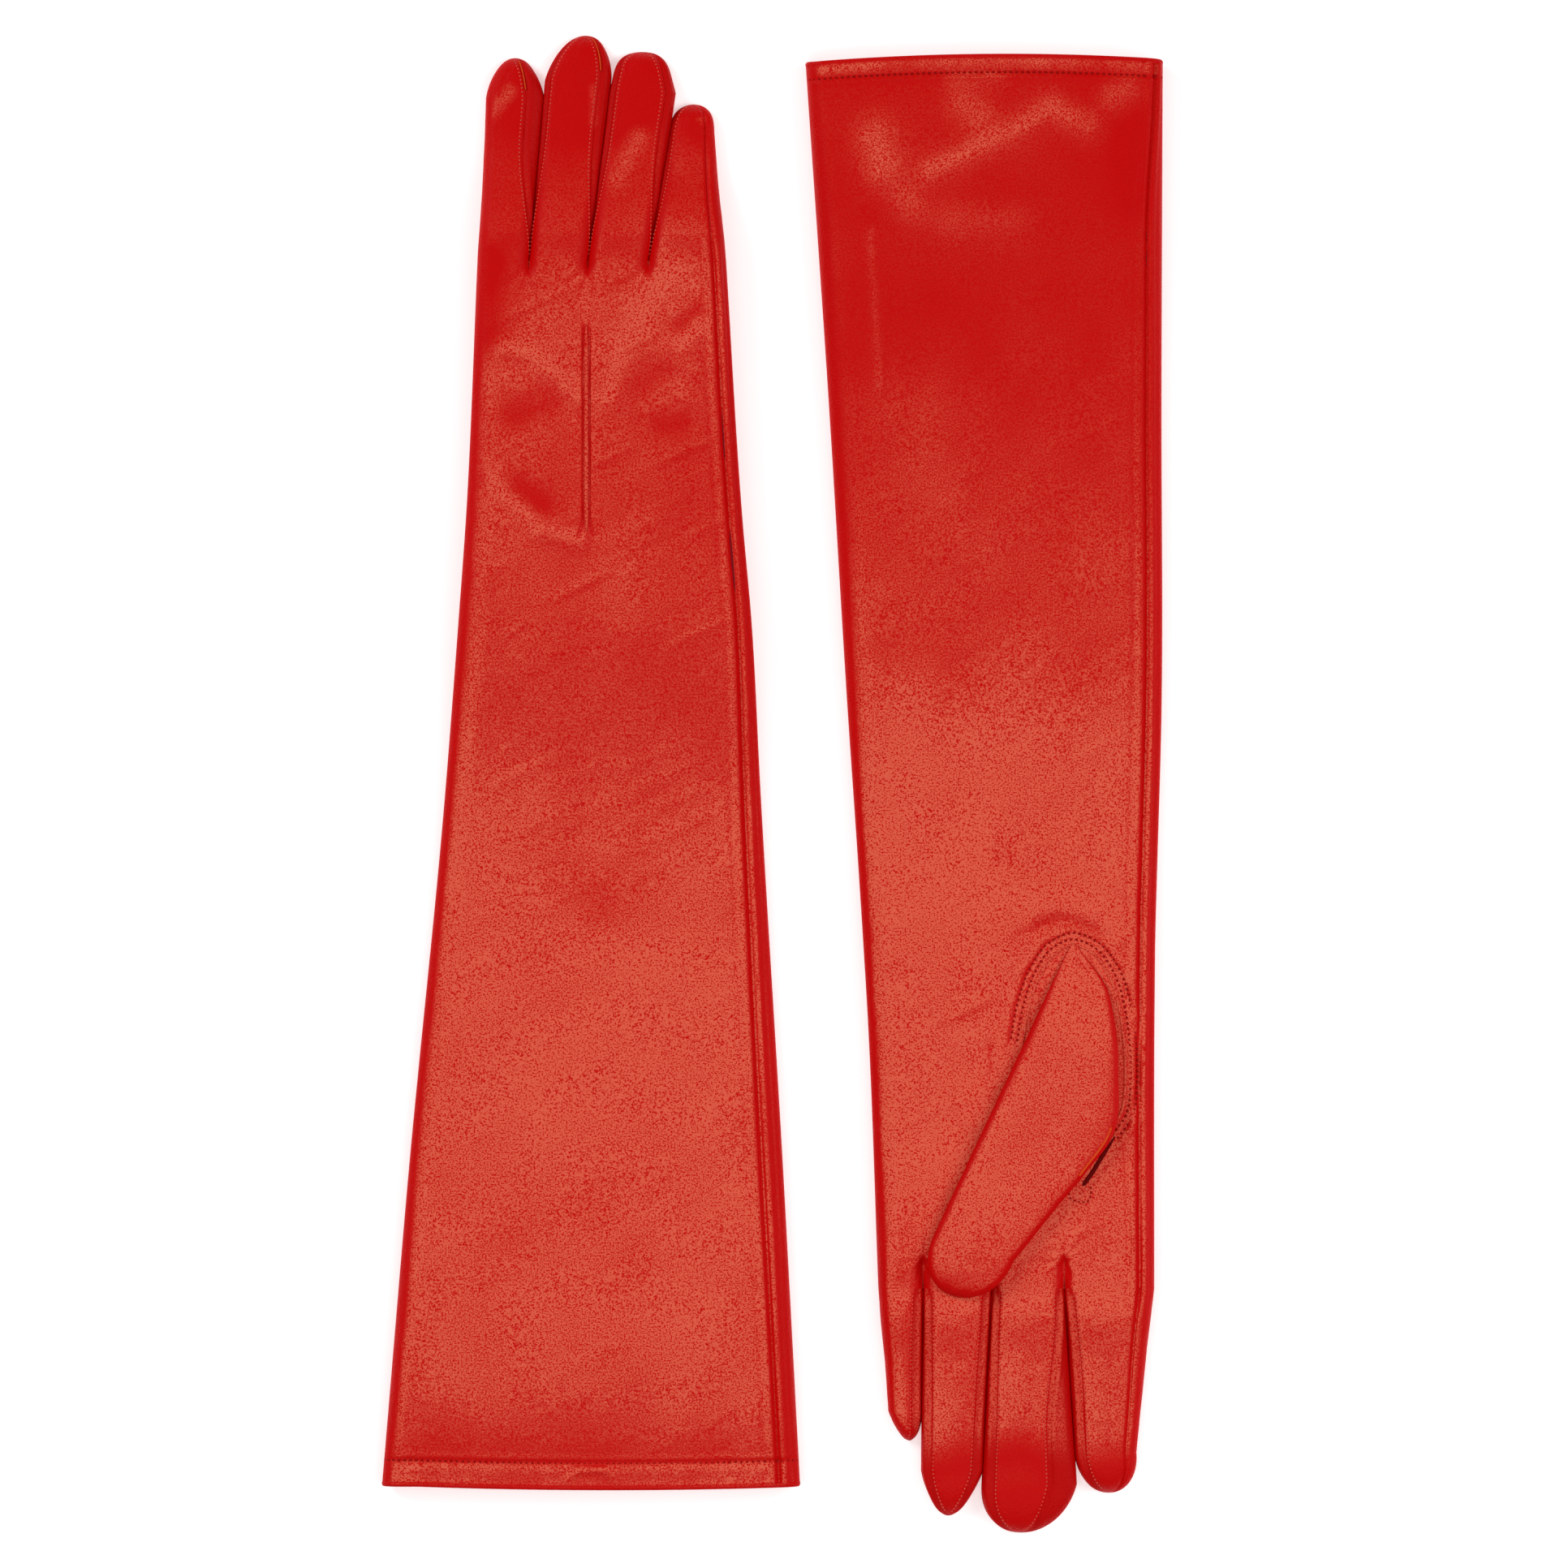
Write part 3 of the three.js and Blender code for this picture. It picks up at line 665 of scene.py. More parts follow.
    def lobes(self, u, v, back):
        """How the hand's thickness pinches in between the roots of the fingers."""
        on_back = smoothstep(-7, 0, v)
        on_palm = np.sqrt(np.clip((v + 10.5) / 10.5, 0, 1))
        share = np.where(back > 0, on_back, on_palm)
        full = np.zeros_like(u)
        for tube in self.fingers.values():
            left, right = tube.left(0.0), tube.right(0.0)
            middle, wide, reach = (left + right) / 2, (right - left) / 2, 5.0
            beyond = np.clip((np.abs(u - middle) - (wide - reach)) / reach, 0, 1)
            inside = np.abs(u - middle) <= wide
            full = np.maximum(full, np.where(inside, np.sqrt(1 - beyond**2), 0))
        outer = (u < self.fingers["index"].left(0.0) + 5) | (u > self.fingers["little"].right(0.0) - 5)
        return np.where(outer, 1.0, 1 - share * (1 - full))

    def radial_inset(self, v):
        """From the index finger's edge to the side seam on the palm."""
        return 5.2 - 2.6 * (1 - smoothstep(self.hem, self.hem + 60, v))

    def ulnar_inset(self, v):
        """From the little finger's edge to the side seam on the back."""
        return 4.2 + 3.0 * smoothstep(60, 330, -v)

    # Painted sheen and shade over the glove: its rows along it, its folds and the hem's turned band, broken up
    # by soft mottle.
    def tone(self, u, v):
        seed = 3 if self.up > 0 else 5
        broad = noise(u, v, 34, 48, seed) * 0.24 + noise(u, v, 13, 17, seed + 1) * 0.17
        shift = noise(u, v, 18, 200, seed + 2) * 7
        base = self.painted_sheen_along(v + shift) + self.folds(u, v)[1]
        from_hem, row = v - self.hem, HEM_STITCHES[self.side]
        # A painted sheen on the turned band between the hem and its stitches.
        band = smoothstep(0.8, 2.2, from_hem) * (1 - smoothstep(row - 1.2, row - 0.2, from_hem))
        base = base + band * HEM_PAINTED_SHEEN[self.side] * (1 + 0.5 * noise(u, v, 3, 6, seed + 3))
        return np.clip(base * (1 + broad) + broad * 0.12, 0, 1.15)

    def folds(self, u, v):
        """Height of the soft folds, and the painted highlight and shade over them."""
        height, tone = np.zeros(np.shape(u)), np.zeros(np.shape(u))
        for line, width, rise, change in FOLDS[self.side]:
            share = hump(line_distance(u, v, line), width)
            height, tone = height + rise * share, tone + FOLD_PAINTED_LIGHT * change * share
        return height, tone

    def point_relief(self, u, v):
        """The tuck on the back stands between two sunk lines, which part at its lower end."""
        low, high = self.point_ends
        away = np.abs(u - self.point_line(v))
        flare = 1.05 + 0.28 * np.clip(low + 4 - v, 0, 8)
        along = smoothstep(low - 4, low, v) * (1 - smoothstep(high - 2, high + 1.5, v))
        return (0.35 * hump(away, 0.7) - 0.5 * hump(away - flare, 0.42)) * along

    def relief(self, u, v, back):
        """Heights of the soft creases and swells of the leather, from 0 at the roots of the fingers."""
        seed = 11 if self.up > 0 else 17
        seed += 7 * int(back)
        calm = 1 - smoothstep(-10, 0, v)
        hand = smoothstep(-150, -100, v)
        swell = noise(u, v, 38, 62, seed) * 0.5 + noise(u, v, 15, 21, seed + 1) * (0.16 + 0.14 * hand)
        creases = np.maximum(turned_noise(u, v, 25, 26, 4.5, seed + 2), 0) ** 2 * 0.35
        worn = hump(v + 100, 70) * 0.7 + 0.25
        height = swell + creases * worn + noise(u, v, 2.6, 2.6, seed + 3) * 0.035
        if back == (self.up > 0):
            height = height + self.folds(u, v)[0] + self.puckers(u, v, back)
        height = height + (self.point_relief(u, v) if back else self.sewn_relief(u, v))
        height = height * calm * smoothstep(self.hem, self.hem + 14, v)
        from_row = v - self.hem - HEM_STITCHES[self.side]
        height = height - 0.4 * hump(from_row, 0.7) + 0.2 * hump(from_row - 1.6, 0.9)
        return height + 0.15 * hump(from_row + 3, 2)

    def sewn_relief(self, u, v):
        """Sunk rows round the thumb, and the seams of the forks where they run into the palm."""
        height = 0.0
        for offset in (0.0, -2.2):
            height = height - 0.42 * hump(line_distance(u, v, sideways(np.array(OVAL, float), offset)), 0.75)
        height = height + 0.3 * hump(line_distance(u, v, sideways(np.array(OVAL, float), -4.2)), 1.3)
        for line in self.finger_lines():
            for side in (-1, 1):
                seam = ((line, -10.5), (line + side * 3.2, 0.5))
                height = height - 0.5 * hump(line_distance(u, v, seam), 0.8)
        return height

    def puckers(self, u, v, back):
        """Small creases that fan out from the crotches of the fingers, and from the thumb's on the palm."""
        middle, count, size, high = (-2, 9, 8, 0.2) if back else (-11, 9, 7, 0.16)
        total = 0.0
        for line in self.finger_lines():
            fan = np.cos(np.arctan2(v - middle, u - line) * count)
            total = total + fan * hump(np.hypot(u - line, v - middle), size) * high
        if not back:
            total = total + np.cos(np.arctan2(v + 40, u + 30) * 14) * hump(np.hypot(u - 12, v + 58), 26) * 0.3
        else:
            creases = np.maximum(turned_noise(u, v, -52, 30, 5, 91), 0)
            total = total + creases * hump(u - 32, 12) * hump(v + 24, 26)
        return total

    def finger_lines(self):
        tubes = [self.fingers[name] for name in FINGERS]
        return [(a.right(0.0) + b.left(0.0)) / 2 for a, b in zip(tubes, tubes[1:])]

    def finger_insets(self, name):
        """Insets in millimetres, as functions of v, of a finger's four seams."""
        tube = self.fingers[name]
        made = []
        for k, share in enumerate(FINGER_SEAMS[self.side][name]):
            made.append(self.seam_inset(name, tube, k, share))
        return made

    def seam_inset(self, name, tube, k, share):
        if share is None:
            return None
        radial = name == "index" and k == 2
        ulnar = name == "little" and k == 1
        start = 2.6 if k > 1 else 0.0
        if radial or ulnar:
            start = self.radial_inset(0.0) if radial else self.ulnar_inset(np.array(0.0))

        def at(v):
            wide = (tube.right(v) - tube.left(v)) / 2
            ramp = smoothstep(0, 0.6 * tube.length, v)
            return np.minimum(start * (1 - ramp) + share * wide * ramp, wide)

        return at


GLOVES = {side: Glove(side) for side in SIDES}


# --- Leather, thread and lining ---


def material(name, build):
    made = bpy.data.materials.new(name)
    made.use_nodes = True
    nodes, links = made.node_tree.nodes, made.node_tree.links
    build(nodes, links, nodes["Principled BSDF"])
    return made


def grain(nodes, links, scale, strength, distance):
    """Pebbled grain: small rounded cells, broken up by fine noise, as a bump."""
    place = nodes.new("ShaderNodeTexCoord")
    cells = nodes.new("ShaderNodeTexVoronoi")
    cells.feature = "SMOOTH_F1"
    cells.inputs["Scale"].default_value = scale
    cells.inputs["Smoothness"].default_value = 0.6
    links.new(place.outputs["Object"], cells.inputs["Vector"])
    fine = nodes.new("ShaderNodeTexNoise")
    fine.inputs["Scale"].default_value = scale * 0.45
    fine.inputs["Detail"].default_value = 4
    links.new(place.outputs["Object"], fine.inputs["Vector"])
    mix = nodes.new("ShaderNodeMath")
    mix.operation = "ADD"
    links.new(cells.outputs["Distance"], mix.inputs[0])
    links.new(fine.outputs["Fac"], mix.inputs[1])
    bump = nodes.new("ShaderNodeBump")
    bump.inputs["Strength"].default_value = strength
    bump.inputs["Distance"].default_value = distance
    links.new(mix.outputs[0], bump.inputs["Height"])
    return place, fine, bump


def leather(name, deep, painted_sheen_colour, roughness):
    """Soft grained leather, deep red where it is smooth and paler where painted sheen is laid on it, with
    painted glints on its grain.
    """

    def build(nodes, links, shader):
        place, _, bump = grain(nodes, links, 1500, 0.5, 0.0003)
        painted_light = nodes.new("ShaderNodeAttribute")
        painted_light.attribute_name = "painted_light"
        # Painted glints: fine specks of the painted sheen, standing for highlights on the grain's pebbles.
        painted_glints = nodes.new("ShaderNodeTexNoise")
        painted_glints.inputs["Scale"].default_value = 1800
        painted_glints.inputs["Detail"].default_value = 1
        cloud = nodes.new("ShaderNodeTexNoise")
        cloud.inputs["Scale"].default_value = 45
        cloud.inputs["Detail"].default_value = 3
        share = painted_light.outputs["Fac"]
        for node, low, high in ((painted_glints, -0.25, 1.95), (cloud, 0.85, 1.15)):
            links.new(place.outputs["Object"], node.inputs["Vector"])
            spread_out = nodes.new("ShaderNodeMapRange")
            spread_out.inputs["From Min"].default_value = 0.34
            spread_out.inputs["From Max"].default_value = 0.66
            spread_out.inputs["To Min"].default_value = low
            spread_out.inputs["To Max"].default_value = high
            links.new(node.outputs["Fac"], spread_out.inputs["Value"])
            product = nodes.new("ShaderNodeMath")
            product.operation = "MULTIPLY"
            links.new(share, product.inputs[0])
            links.new(spread_out.outputs["Result"], product.inputs[1])
            share = product.outputs[0]
        tint = nodes.new("ShaderNodeMix")
        tint.data_type = "RGBA"
        tint.inputs[6].default_value = (*deep, 1)
        tint.inputs[7].default_value = (*painted_sheen_colour, 1)
        tint.clamp_factor = True
        links.new(share, tint.inputs[0])
        links.new(tint.outputs[2], shader.inputs["Base Color"])
        rough = nodes.new("ShaderNodeMapRange")
        rough.inputs["To Min"].default_value = roughness - 0.05
        rough.inputs["To Max"].default_value = roughness + 0.07
        links.new(cloud.outputs["Fac"], rough.inputs["Value"])
        links.new(rough.outputs["Result"], shader.inputs["Roughness"])
        shader.inputs["Specular IOR Level"].default_value = 0.07
        links.new(bump.outputs["Normal"], shader.inputs["Normal"])

    return material(name, build)


def plain(name, colour, roughness, scale, strength):
    """A matt thread, knit or cut edge with a fine texture of its own."""

    def build(nodes, links, shader):
        _, fine, bump = grain(nodes, links, scale, strength, 0.0002)
        tint = nodes.new("ShaderNodeMix")
        tint.data_type = "RGBA"
        tint.inputs[6].default_value = (*(c * 0.75 for c in colour), 1)
        tint.inputs[7].default_value = (*colour, 1)
        links.new(fine.outputs["Fac"], tint.inputs[0])
        links.new(tint.outputs[2], shader.inputs["Base Color"])
        links.new(bump.outputs["Normal"], shader.inputs["Normal"])
        shader.inputs["Roughness"].default_value = roughness
        shader.inputs["Specular IOR Level"].default_value = 0.08

    return material(name, build)


# --- Settings ---


def colour_property(name, description, default):
    return FloatVectorProperty(
        name=name, description=description, default=default, subtype="COLOR", size=3, min=0, max=1
    )


def size_property(name, description, default):
    return FloatProperty(name=name, description=description, default=default * MM, unit="LENGTH", precision=5)


class LeatherSettings(bpy.types.PropertyGroup):
    """Colours and thicknesses of the leather, thread and lining."""

    deep: colour_property("Leather", "The leather where it is smooth", (0.62, 0.0010, 0.0010))
    # The leather's colour where painted sheen is laid on.
    painted_sheen_colour: colour_property("Painted_sheen", "The leather where its bloom shows", (0.82, 0.118, 0.066))
    fork_deep: colour_property("Forks", "The forks between the fingers", (0.55, 0.0010, 0.0010))
    # The forks' colour where painted sheen is laid on.
    fork_painted_sheen_colour: colour_property("Forks' bloom", "The forks where their bloom shows", (0.74, 0.075, 0.042))
    thread: colour_property("Thread", "The stitches of the fingers and hems", (0.84, 0.13, 0.085))
    seam_thread: colour_property("Thumb thread", "The stitches round the thumbs", (0.40, 0.003, 0.002))
    cut_edge: colour_property("Cut edge", "The raw edge of the leather", (0.85, 0.085, 0.012))
    # A dark colour painted as the shade inside the open end of the thumb's seam.
    slit_shade: colour_property("Slit_painted_shade", "Inside the open end of the thumb's seam", (0.16, 0.001, 0.001))
    lining: colour_property("Lining", "The knitted lining", (0.26, 0.008, 0.014))
    thick: size_property("Leather thickness", "Through the leather", 0.8)
    roughness: FloatProperty(name="Roughness", description="Of the leather", default=0.46, min=0, max=1)


class SeamSettings(bpy.types.PropertyGroup):
    """Sizes of the seams and stitches."""

    finger_pitch: size_property("Finger stitches", "From one stitch to the next along a finger", 1.4)
    thumb_pitch: size_property("Thumb stitches", "From one stitch to the next round a thumb", 1.9)
    hem_pitch: size_property("Hem stitches", "From one stitch to the next along a hem", 2.0)
    groove: size_property("Groove", "Depth of a side seam's groove", 0.9)
    lap: size_property("Lap", "How far a finger's strips stand above its forks", 0.6)


def settings():
    return bpy.context.scene.glove_leather, bpy.context.scene.glove_seams


def finish_piece(made, look, slot, glove, body, *nodes):
    made.data.materials.append(look)
    if body:
        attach(made, body)
    if nodes:
        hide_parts(*(f"{glove.side}_{node}" for node in nodes))
    return made


def bend_with(made, glove, finger):
    """Bakes a finger's piece's place into its points; the ends of the line that it would bend on are worked out
    but not used.
    """
    middle = (glove.fingers[finger].left(0.0) + glove.fingers[finger].right(0.0)) / 2
    start, end = (glove.world_point(middle, v, 0) for v in (0, BEND_END))
    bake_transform(made)
    return made


LOOKS = {}


def look(name):
    """One of the finishes, made when it is first needed."""
    if name in LOOKS:
        return LOOKS[name]
    chosen, _ = settings()
    made = {
        "leather": lambda: leather("Glove leather", chosen.deep, chosen.painted_sheen_colour, chosen.roughness),
        "forks": lambda: leather("Fork leather", chosen.fork_deep, chosen.fork_painted_sheen_colour, chosen.roughness + 0.04),
        "thread": lambda: plain("Thread", chosen.thread, 0.6, 4000, 0.4),
        "thumb_thread": lambda: plain("Thumb thread", chosen.seam_thread, 0.65, 4000, 0.4),
        "cut_edge": lambda: plain("Cut edge", chosen.cut_edge, 0.7, 3000, 0.4),
        "slit_shade": lambda: plain("Slit_painted_shade", chosen.slit_shade, 0.8, 1500, 0.4),
        "lining": lambda: plain("Knitted lining", chosen.lining, 0.9, 1100, 0.7),
    }[name]()
    LOOKS[name] = made
    return made


# --- The sleeve and hand ---


SLEEVE_STEPS = (0.6, 1.5)  # between rows beside the hem and along the sleeve
HAND_START = -130.0  # where the rows of the hand begin


def sleeve_rows(start):
    near_hem = np.arange(start, start + 14, SLEEVE_STEPS[0])
    long = np.arange(near_hem[-1] + 1, HAND_START - 1, SLEEVE_STEPS[1])
    hand = np.linspace(HAND_START, 0, 175)
    return np.concatenate([near_hem, long, hand])[:, None]


def side_seams(glove, v):
    """Ways round the sleeve of the seam on the back and of the seam on the palm side."""
    on_back = glove.sleeve.inset(v, glove.ulnar_inset(v))
    on_palm = 2 + glove.sleeve.inset(v, glove.radial_inset(v))
    return on_back, on_palm


def side_seam_relief(distance, depth):
    """A turned edge drops into the seam and swells beside it."""
    return -depth * hump(distance, 0.8) + 0.4 * hump(distance - 1.9, 0.9) - 0.2 * hump(distance - 3.9, 0.7)


def sleeve_relief(glove, tube, v, ways):
    plain_points = tube.points(v, ways)
    quarter = np.floor(ways).astype(int) % 4
    t = ways - np.floor(ways)
    from_edge = np.where(quarter % 2 == 0, t, 1 - t) * tube.quarter(v)
    u, flat = plain_points[..., 0], smoothstep(0, 10, from_edge)
    on_back = glove.relief(u, v, True)
    on_palm = glove.relief(u, v, False)
    return np.where(quarter < 2, on_back, on_palm) * flat


def sleeve_panel(glove, name, on_back):
    """The back panel wraps round the index finger's edge, and the palm panel round the little finger's."""
    chosen, seams = settings()
    v = sleeve_rows(glove.hem + 0.9)
    first, second = side_seams(glove, v)
    start, end = (first, second) if on_back else (second, 4 + first)
    shares = spread(140, 1.0 if on_back else 0.75)
    if on_back:  # closer together beside the raised point
        middle = sum(glove.point_ends) / 2
        points = glove.sleeve.points(np.full(400, middle), np.linspace(0.05, 1.95, 400))
        way = np.interp(-glove.point_line(middle), -points[:, 0], np.linspace(0.05, 1.95, 400))
        low_way, high_way = (float(edge[np.argmin(np.abs(v - middle))][0]) for edge in (start, end))
        beside = np.arange(-4.2, 4.3, 0.3) / float(glove.sleeve.quarter(middle))
        near = (way + beside - low_way) / (high_way - low_way)
        shares = np.concatenate([shares[(shares < near[0]) | (shares > near[-1])], near])
        shares.sort()
    shares = shares[None, :]
    ways = start + (end - start) * shares
    grid_v = np.broadcast_to(v, ways.shape)
    quarter = glove.sleeve.quarter(v)
    depth = seams.groove / MM
    relief = side_seam_relief((ways - start) * quarter, depth)
    relief = relief + side_seam_relief((end - ways) * quarter, depth)
    relief = relief + sleeve_relief(glove, glove.sleeve, grid_v, ways)
    made = skin(f"{glove.side}_{name}", glove, glove.sleeve, v, ways, relief, chosen.thick / MM)
    nodes = ("back_panel", "back_fold") if on_back else ("palm_panel", "palm_fold")
    return finish_piece(made, look("leather"), "glove_leather", glove, f"{glove.side}_glove", *nodes)


def face_points(glove, line, on_back, lift):
    """Points on the back or palm of a glove over a line in the (u, v) plane, and the way out of it."""
    u, v = line[:, 0], line[:, 1]
    tube = glove.sleeve
    wide, reach, half, _ = tube.arc(v)
    x = np.abs(u - (tube.left(v) + tube.right(v)) / 2)
    rounding = np.sqrt(1 - np.clip((x - (wide - reach)) / reach, 0, 1) ** 2)
    rise = half * rounding + tube.crown(v) * np.clip(1 - (x / (wide - reach)) ** 2, 0, 1)
    out = glove.up * (1 if on_back else -1)
    z = tube.middle(v) + out * (rise + glove.relief(u, v, on_back) * rounding + lift)
    normals = np.zeros((len(line), 3))
    normals[:, 2] = out
    return np.stack([u, v, z], -1), normals


def ring_skin(name, glove, profile, columns):
    """A closed band round the hem: each point of its section is a distance from the hem and a depth."""
    ways = np.linspace(0, 4, columns, endpoint=False)
    rings = []
    for along, depth in profile:
        v = np.full_like(ways, glove.hem + along)
        rings.append(glove.sleeve.points(v, ways, np.full_like(ways, -depth)))
    points = np.array(rings)
    rows = len(profile)
    i, j = np.meshgrid(np.arange(rows), np.arange(columns), indexing="ij")
    a, b = i * columns + j, i * columns + (j + 1) % columns
    c, d = (i + 1) % rows * columns + (j + 1) % columns, (i + 1) % rows * columns + j
    faces = np.stack([a.ravel(), b.ravel(), c.ravel(), d.ravel()], 1)
    flat = points.reshape(-1, 3)
    return new_mesh(name, glove, flat, faces, painted_light_at(glove, flat))


HEM_SECTION = (
    (1.6, 0.02), (0.9, -0.12), (0.3, 0.0), (-0.15, 0.45), (-0.25, 1.0), (-0.1, 1.6), (0.4, 2.1), (1.2, 2.3),
    (4.0, 2.25), (8.6, 2.2), (9.0, 1.9), (8.6, 1.5), (4.0, 1.45), (1.8, 1.3), (1.5, 0.9),
)  # fmt: skip


def hem(glove):
    made = ring_skin(f"{glove.side}_hem_edge", glove, HEM_SECTION, 360)
    return finish_piece(made, look("leather"), "glove_leather", glove, f"{glove.side}_glove", "hem_facing")


def tube_line(tube, v, way, lift):
    """Points and outward directions along a line on a tube."""
    points = tube.points(v, way, np.full_like(v, lift))
    normals = tube.points(v, way, np.full_like(v, lift + 1)) - points
    return points, normals / np.linalg.norm(normals, axis=1, keepdims=True)


def hem_stitches(glove):
    _, seams = settings()
    ways = np.linspace(0, 4, 600)
    row = np.full_like(ways, glove.hem + HEM_STITCHES[glove.side])
    points, normals = tube_line(glove.sleeve, row, ways, -0.2)
    pitch = seams.hem_pitch / MM
    bars = stitch_row(points, normals, pitch, pitch * 0.6, 0.7, 0.5)
    made = bars_mesh(f"{glove.side}_hem_stitches", glove, bars)
    return finish_piece(made, look("thumb_thread"), "thread", glove, f"{glove.side}_glove", "hem_stitching")


def sleeve_lining(glove):
    tube = glove.sleeve.shrunk(1.3)
    v = np.linspace(glove.hem + 8.8, -0.5, 130)[:, None]
    ways = np.broadcast_to(np.linspace(0, 4, 160, endpoint=False)[None, :], (130, 160))
    relief = noise(v, ways * 30, 9, 5, 31) * 0.12
    made = skin(f"{glove.side}_knitted_lining", glove, tube, v, ways, relief, 0.4, closed=True)
    return finish_piece(made, look("lining"), "lining", glove, f"{glove.side}_glove", "sleeve_lining")


def back_point(glove):
    """The raised point on the back: a pinched tuck that ends in a small fork, between two sunk lines."""
    low, high = glove.point_ends
    along = np.linspace(low, high, 60)
    line = np.stack([glove.point_line(along), along], -1)
    points, normals = face_points(glove, line, True, 0.05)
    swell = np.interp(np.linspace(0, 1, 60), [0, 0.06, 0.9, 1], [0.35, 1, 1, 0.45])
    ridge = bar(points, normals, 1.35, 0.7)
    middle = ridge.mean(axis=1, keepdims=True)
    bars = [middle + (ridge - middle) * swell[:, None, None]]
    made = bars_mesh(f"{glove.side}_back_point_tuck", glove, bars)
    # A constant painted sheen along the tuck's ridge.
    made.data.attributes.new("painted_light", "FLOAT", "POINT").data.foreach_set(
        "value", np.full(len(made.data.vertices), 0.6, np.float32)
    )
    return finish_piece(made, look("leather"), "glove_leather", glove, f"{glove.side}_glove", "back_point")


# --- The fingers ---


def finger_rows(tube):
    straight = np.arange(0, TIP_SHARE * tube.length, 0.8)
    turn = np.sin(np.linspace(0, np.pi / 2, 22)) * 0.9995
    tip = TIP_SHARE * tube.length + turn * (1 - TIP_SHARE) * tube.length
    return np.concatenate([straight, tip])[:, None]


def finger_relief(u, v, seed):
    """Soft swells, and faint creases where the finger bends."""
    swell = noise(u, v, 8, 15, seed) * 0.16 + noise(u, v, 3, 4, seed + 1) * 0.04
    bends = (hump(v - 24, 4) + hump(v - 46, 4)) * np.maximum(noise(u, v, 9, 1.6, seed + 2), 0) * 0.09
    return (swell - bends) * smoothstep(0, 9, v)


def finger_seam_ways(glove, name, v):
    """Ways round a finger of its seams: where it has none, the strip wraps past the edge."""
    tube = glove.fingers[name]
    insets = glove.finger_insets(name)
    at = [None if inset is None else tube.inset(v, inset(v)) for inset in insets]
    back_index, back_little, palm_index, palm_little = at
    return {
        "back_index": None if back_index is None else 2 - back_index,
        "back_little": None if back_little is None else back_little,
        "palm_index": None if palm_index is None else 2 + palm_index,
        "palm_little": None if palm_little is None else 4 - palm_little,
    }


def strip(glove, name, part, start, end, nodes, tucked=False):
    """One strip of a finger. A tucked strip, a fork, lies lower and reaches under the strips on each side."""
    chosen, seams = settings()
    tube = glove.fingers[name]
    v = finger_rows(tube)
    quarter = tube.quarter(v)
    start, end = start(v), end(v)
    lap, painted_highlight = seams.lap / MM, None
    if tucked:
        start, end = start - 0.9 / quarter, end + 0.9 / quarter
    width = float(((end - start) * quarter).max())
    shares = spread(max(width, 9.0), 0.9)[None, :]
    ways = start + (end - start) * shares
    grid_v = np.broadcast_to(v, ways.shape)
    points = tube.points(grid_v, ways)
    relief = finger_relief(points[..., 0], grid_v, len(name) * 7 + (3 if tucked else 0))
    fade = smoothstep(0, 5, v) * np.sqrt(np.clip(tube.half(v) / 3, 0, 1))
    near, far = (ways - start) * quarter, (end - ways) * quarter
    if tucked:
        nearest = np.minimum(near, far)
        sunk = 0.12 + 0.88 * (1 - smoothstep(0.8, 2.6, nearest))
        wide = smoothstep(2.0, 7.0, near + far)
        relief = relief * 0.6 - lap * sunk * wide * fade + 0.3 * hump(nearest - 2.9, 0.7) * wide * fade
        # A painted highlight along the fork's ridge, a little in from its seam on the palm side.
        from_palm = far if part == "index_side_fork" else near
        painted_highlight = FORK_PAINTED_HIGHLIGHT * hump(from_palm - 2.5, 0.5) * wide * (1 - smoothstep(45, 60, grid_v))
    else:
        depth, width = (0.5, 0.5) if part == "back_strip" else (0.85, 1.0)
        sleeve_seam = {
            ("index", "back_strip"): far,
            ("index", "palm_strip"): near,
            ("little", "back_strip"): near,
            ("little", "palm_strip"): far,
        }.get((name, part))
        for distance in (near, far):
            relief = relief - depth * hump(distance, width) * fade
        if sleeve_seam is not None:
            rest = 1 - smoothstep(0, 14, v)
            shallow = depth * hump(sleeve_seam, width) * fade
            relief = relief + rest * (side_seam_relief(sleeve_seam, seams.groove / MM) + shallow)
    thick = min(chosen.thick / MM, 0.6)
    made = skin(f"{glove.side}_{name}_{part}", glove, tube, v, ways, relief, thick, painted_highlight=painted_highlight)
    finish, slot = ("forks", "fourchette_leather") if tucked else ("leather", "glove_leather")
    finish_piece(made, look(finish), slot, glove, None, *(f"{name}_{node}" for node in nodes))
    return bend_with(made, glove, name)


def finger(glove, name):
    """A finger's back and palm strips, its forks, its stitches and its lining."""
    _, seams = settings()
    tube = glove.fingers[name]

    def seam(key):
        return lambda v: finger_seam_ways(glove, name, v)[key]

    first, last = name == FINGERS[0], name == FINGERS[-1]
    back_end = seam("palm_index") if first else seam("back_index")
    palm_end = (lambda v: 4 + seam("back_little")(v)) if last else seam("palm_little")
    strip(glove, name, "back_strip", seam("back_little"), back_end, ["back"])
    strip(glove, name, "palm_strip", seam("palm_index"), palm_end, ["palm"])
    if not first:
        end = seam("palm_index")
        strip(glove, name, "index_side_fork", seam("back_index"), end, ["fork_index_side"], True)
    if not last:
        end = lambda v: 4 + seam("back_little")(v)
        strip(glove, name, "little_side_fork", seam("palm_little"), end, ["fork_little_side"], True)
    finger_stitches(glove, name, seams.finger_pitch / MM)
    finger_lining(glove, name)
    if name in RAW_EDGES[glove.side]:
        v = tube.length * np.linspace(0.84, 0.985, 40)
        points, normals = tube_line(tube, v, seam("back_little")(v), -0.05)
        made = bars_mesh(f"{glove.side}_{name}_raw_edge", glove, [bar(points, normals, 0.45, 0.6)])
        finish_piece(made, look("cut_edge"), "glove_leather", glove, None)
        bend_with(made, glove, name)


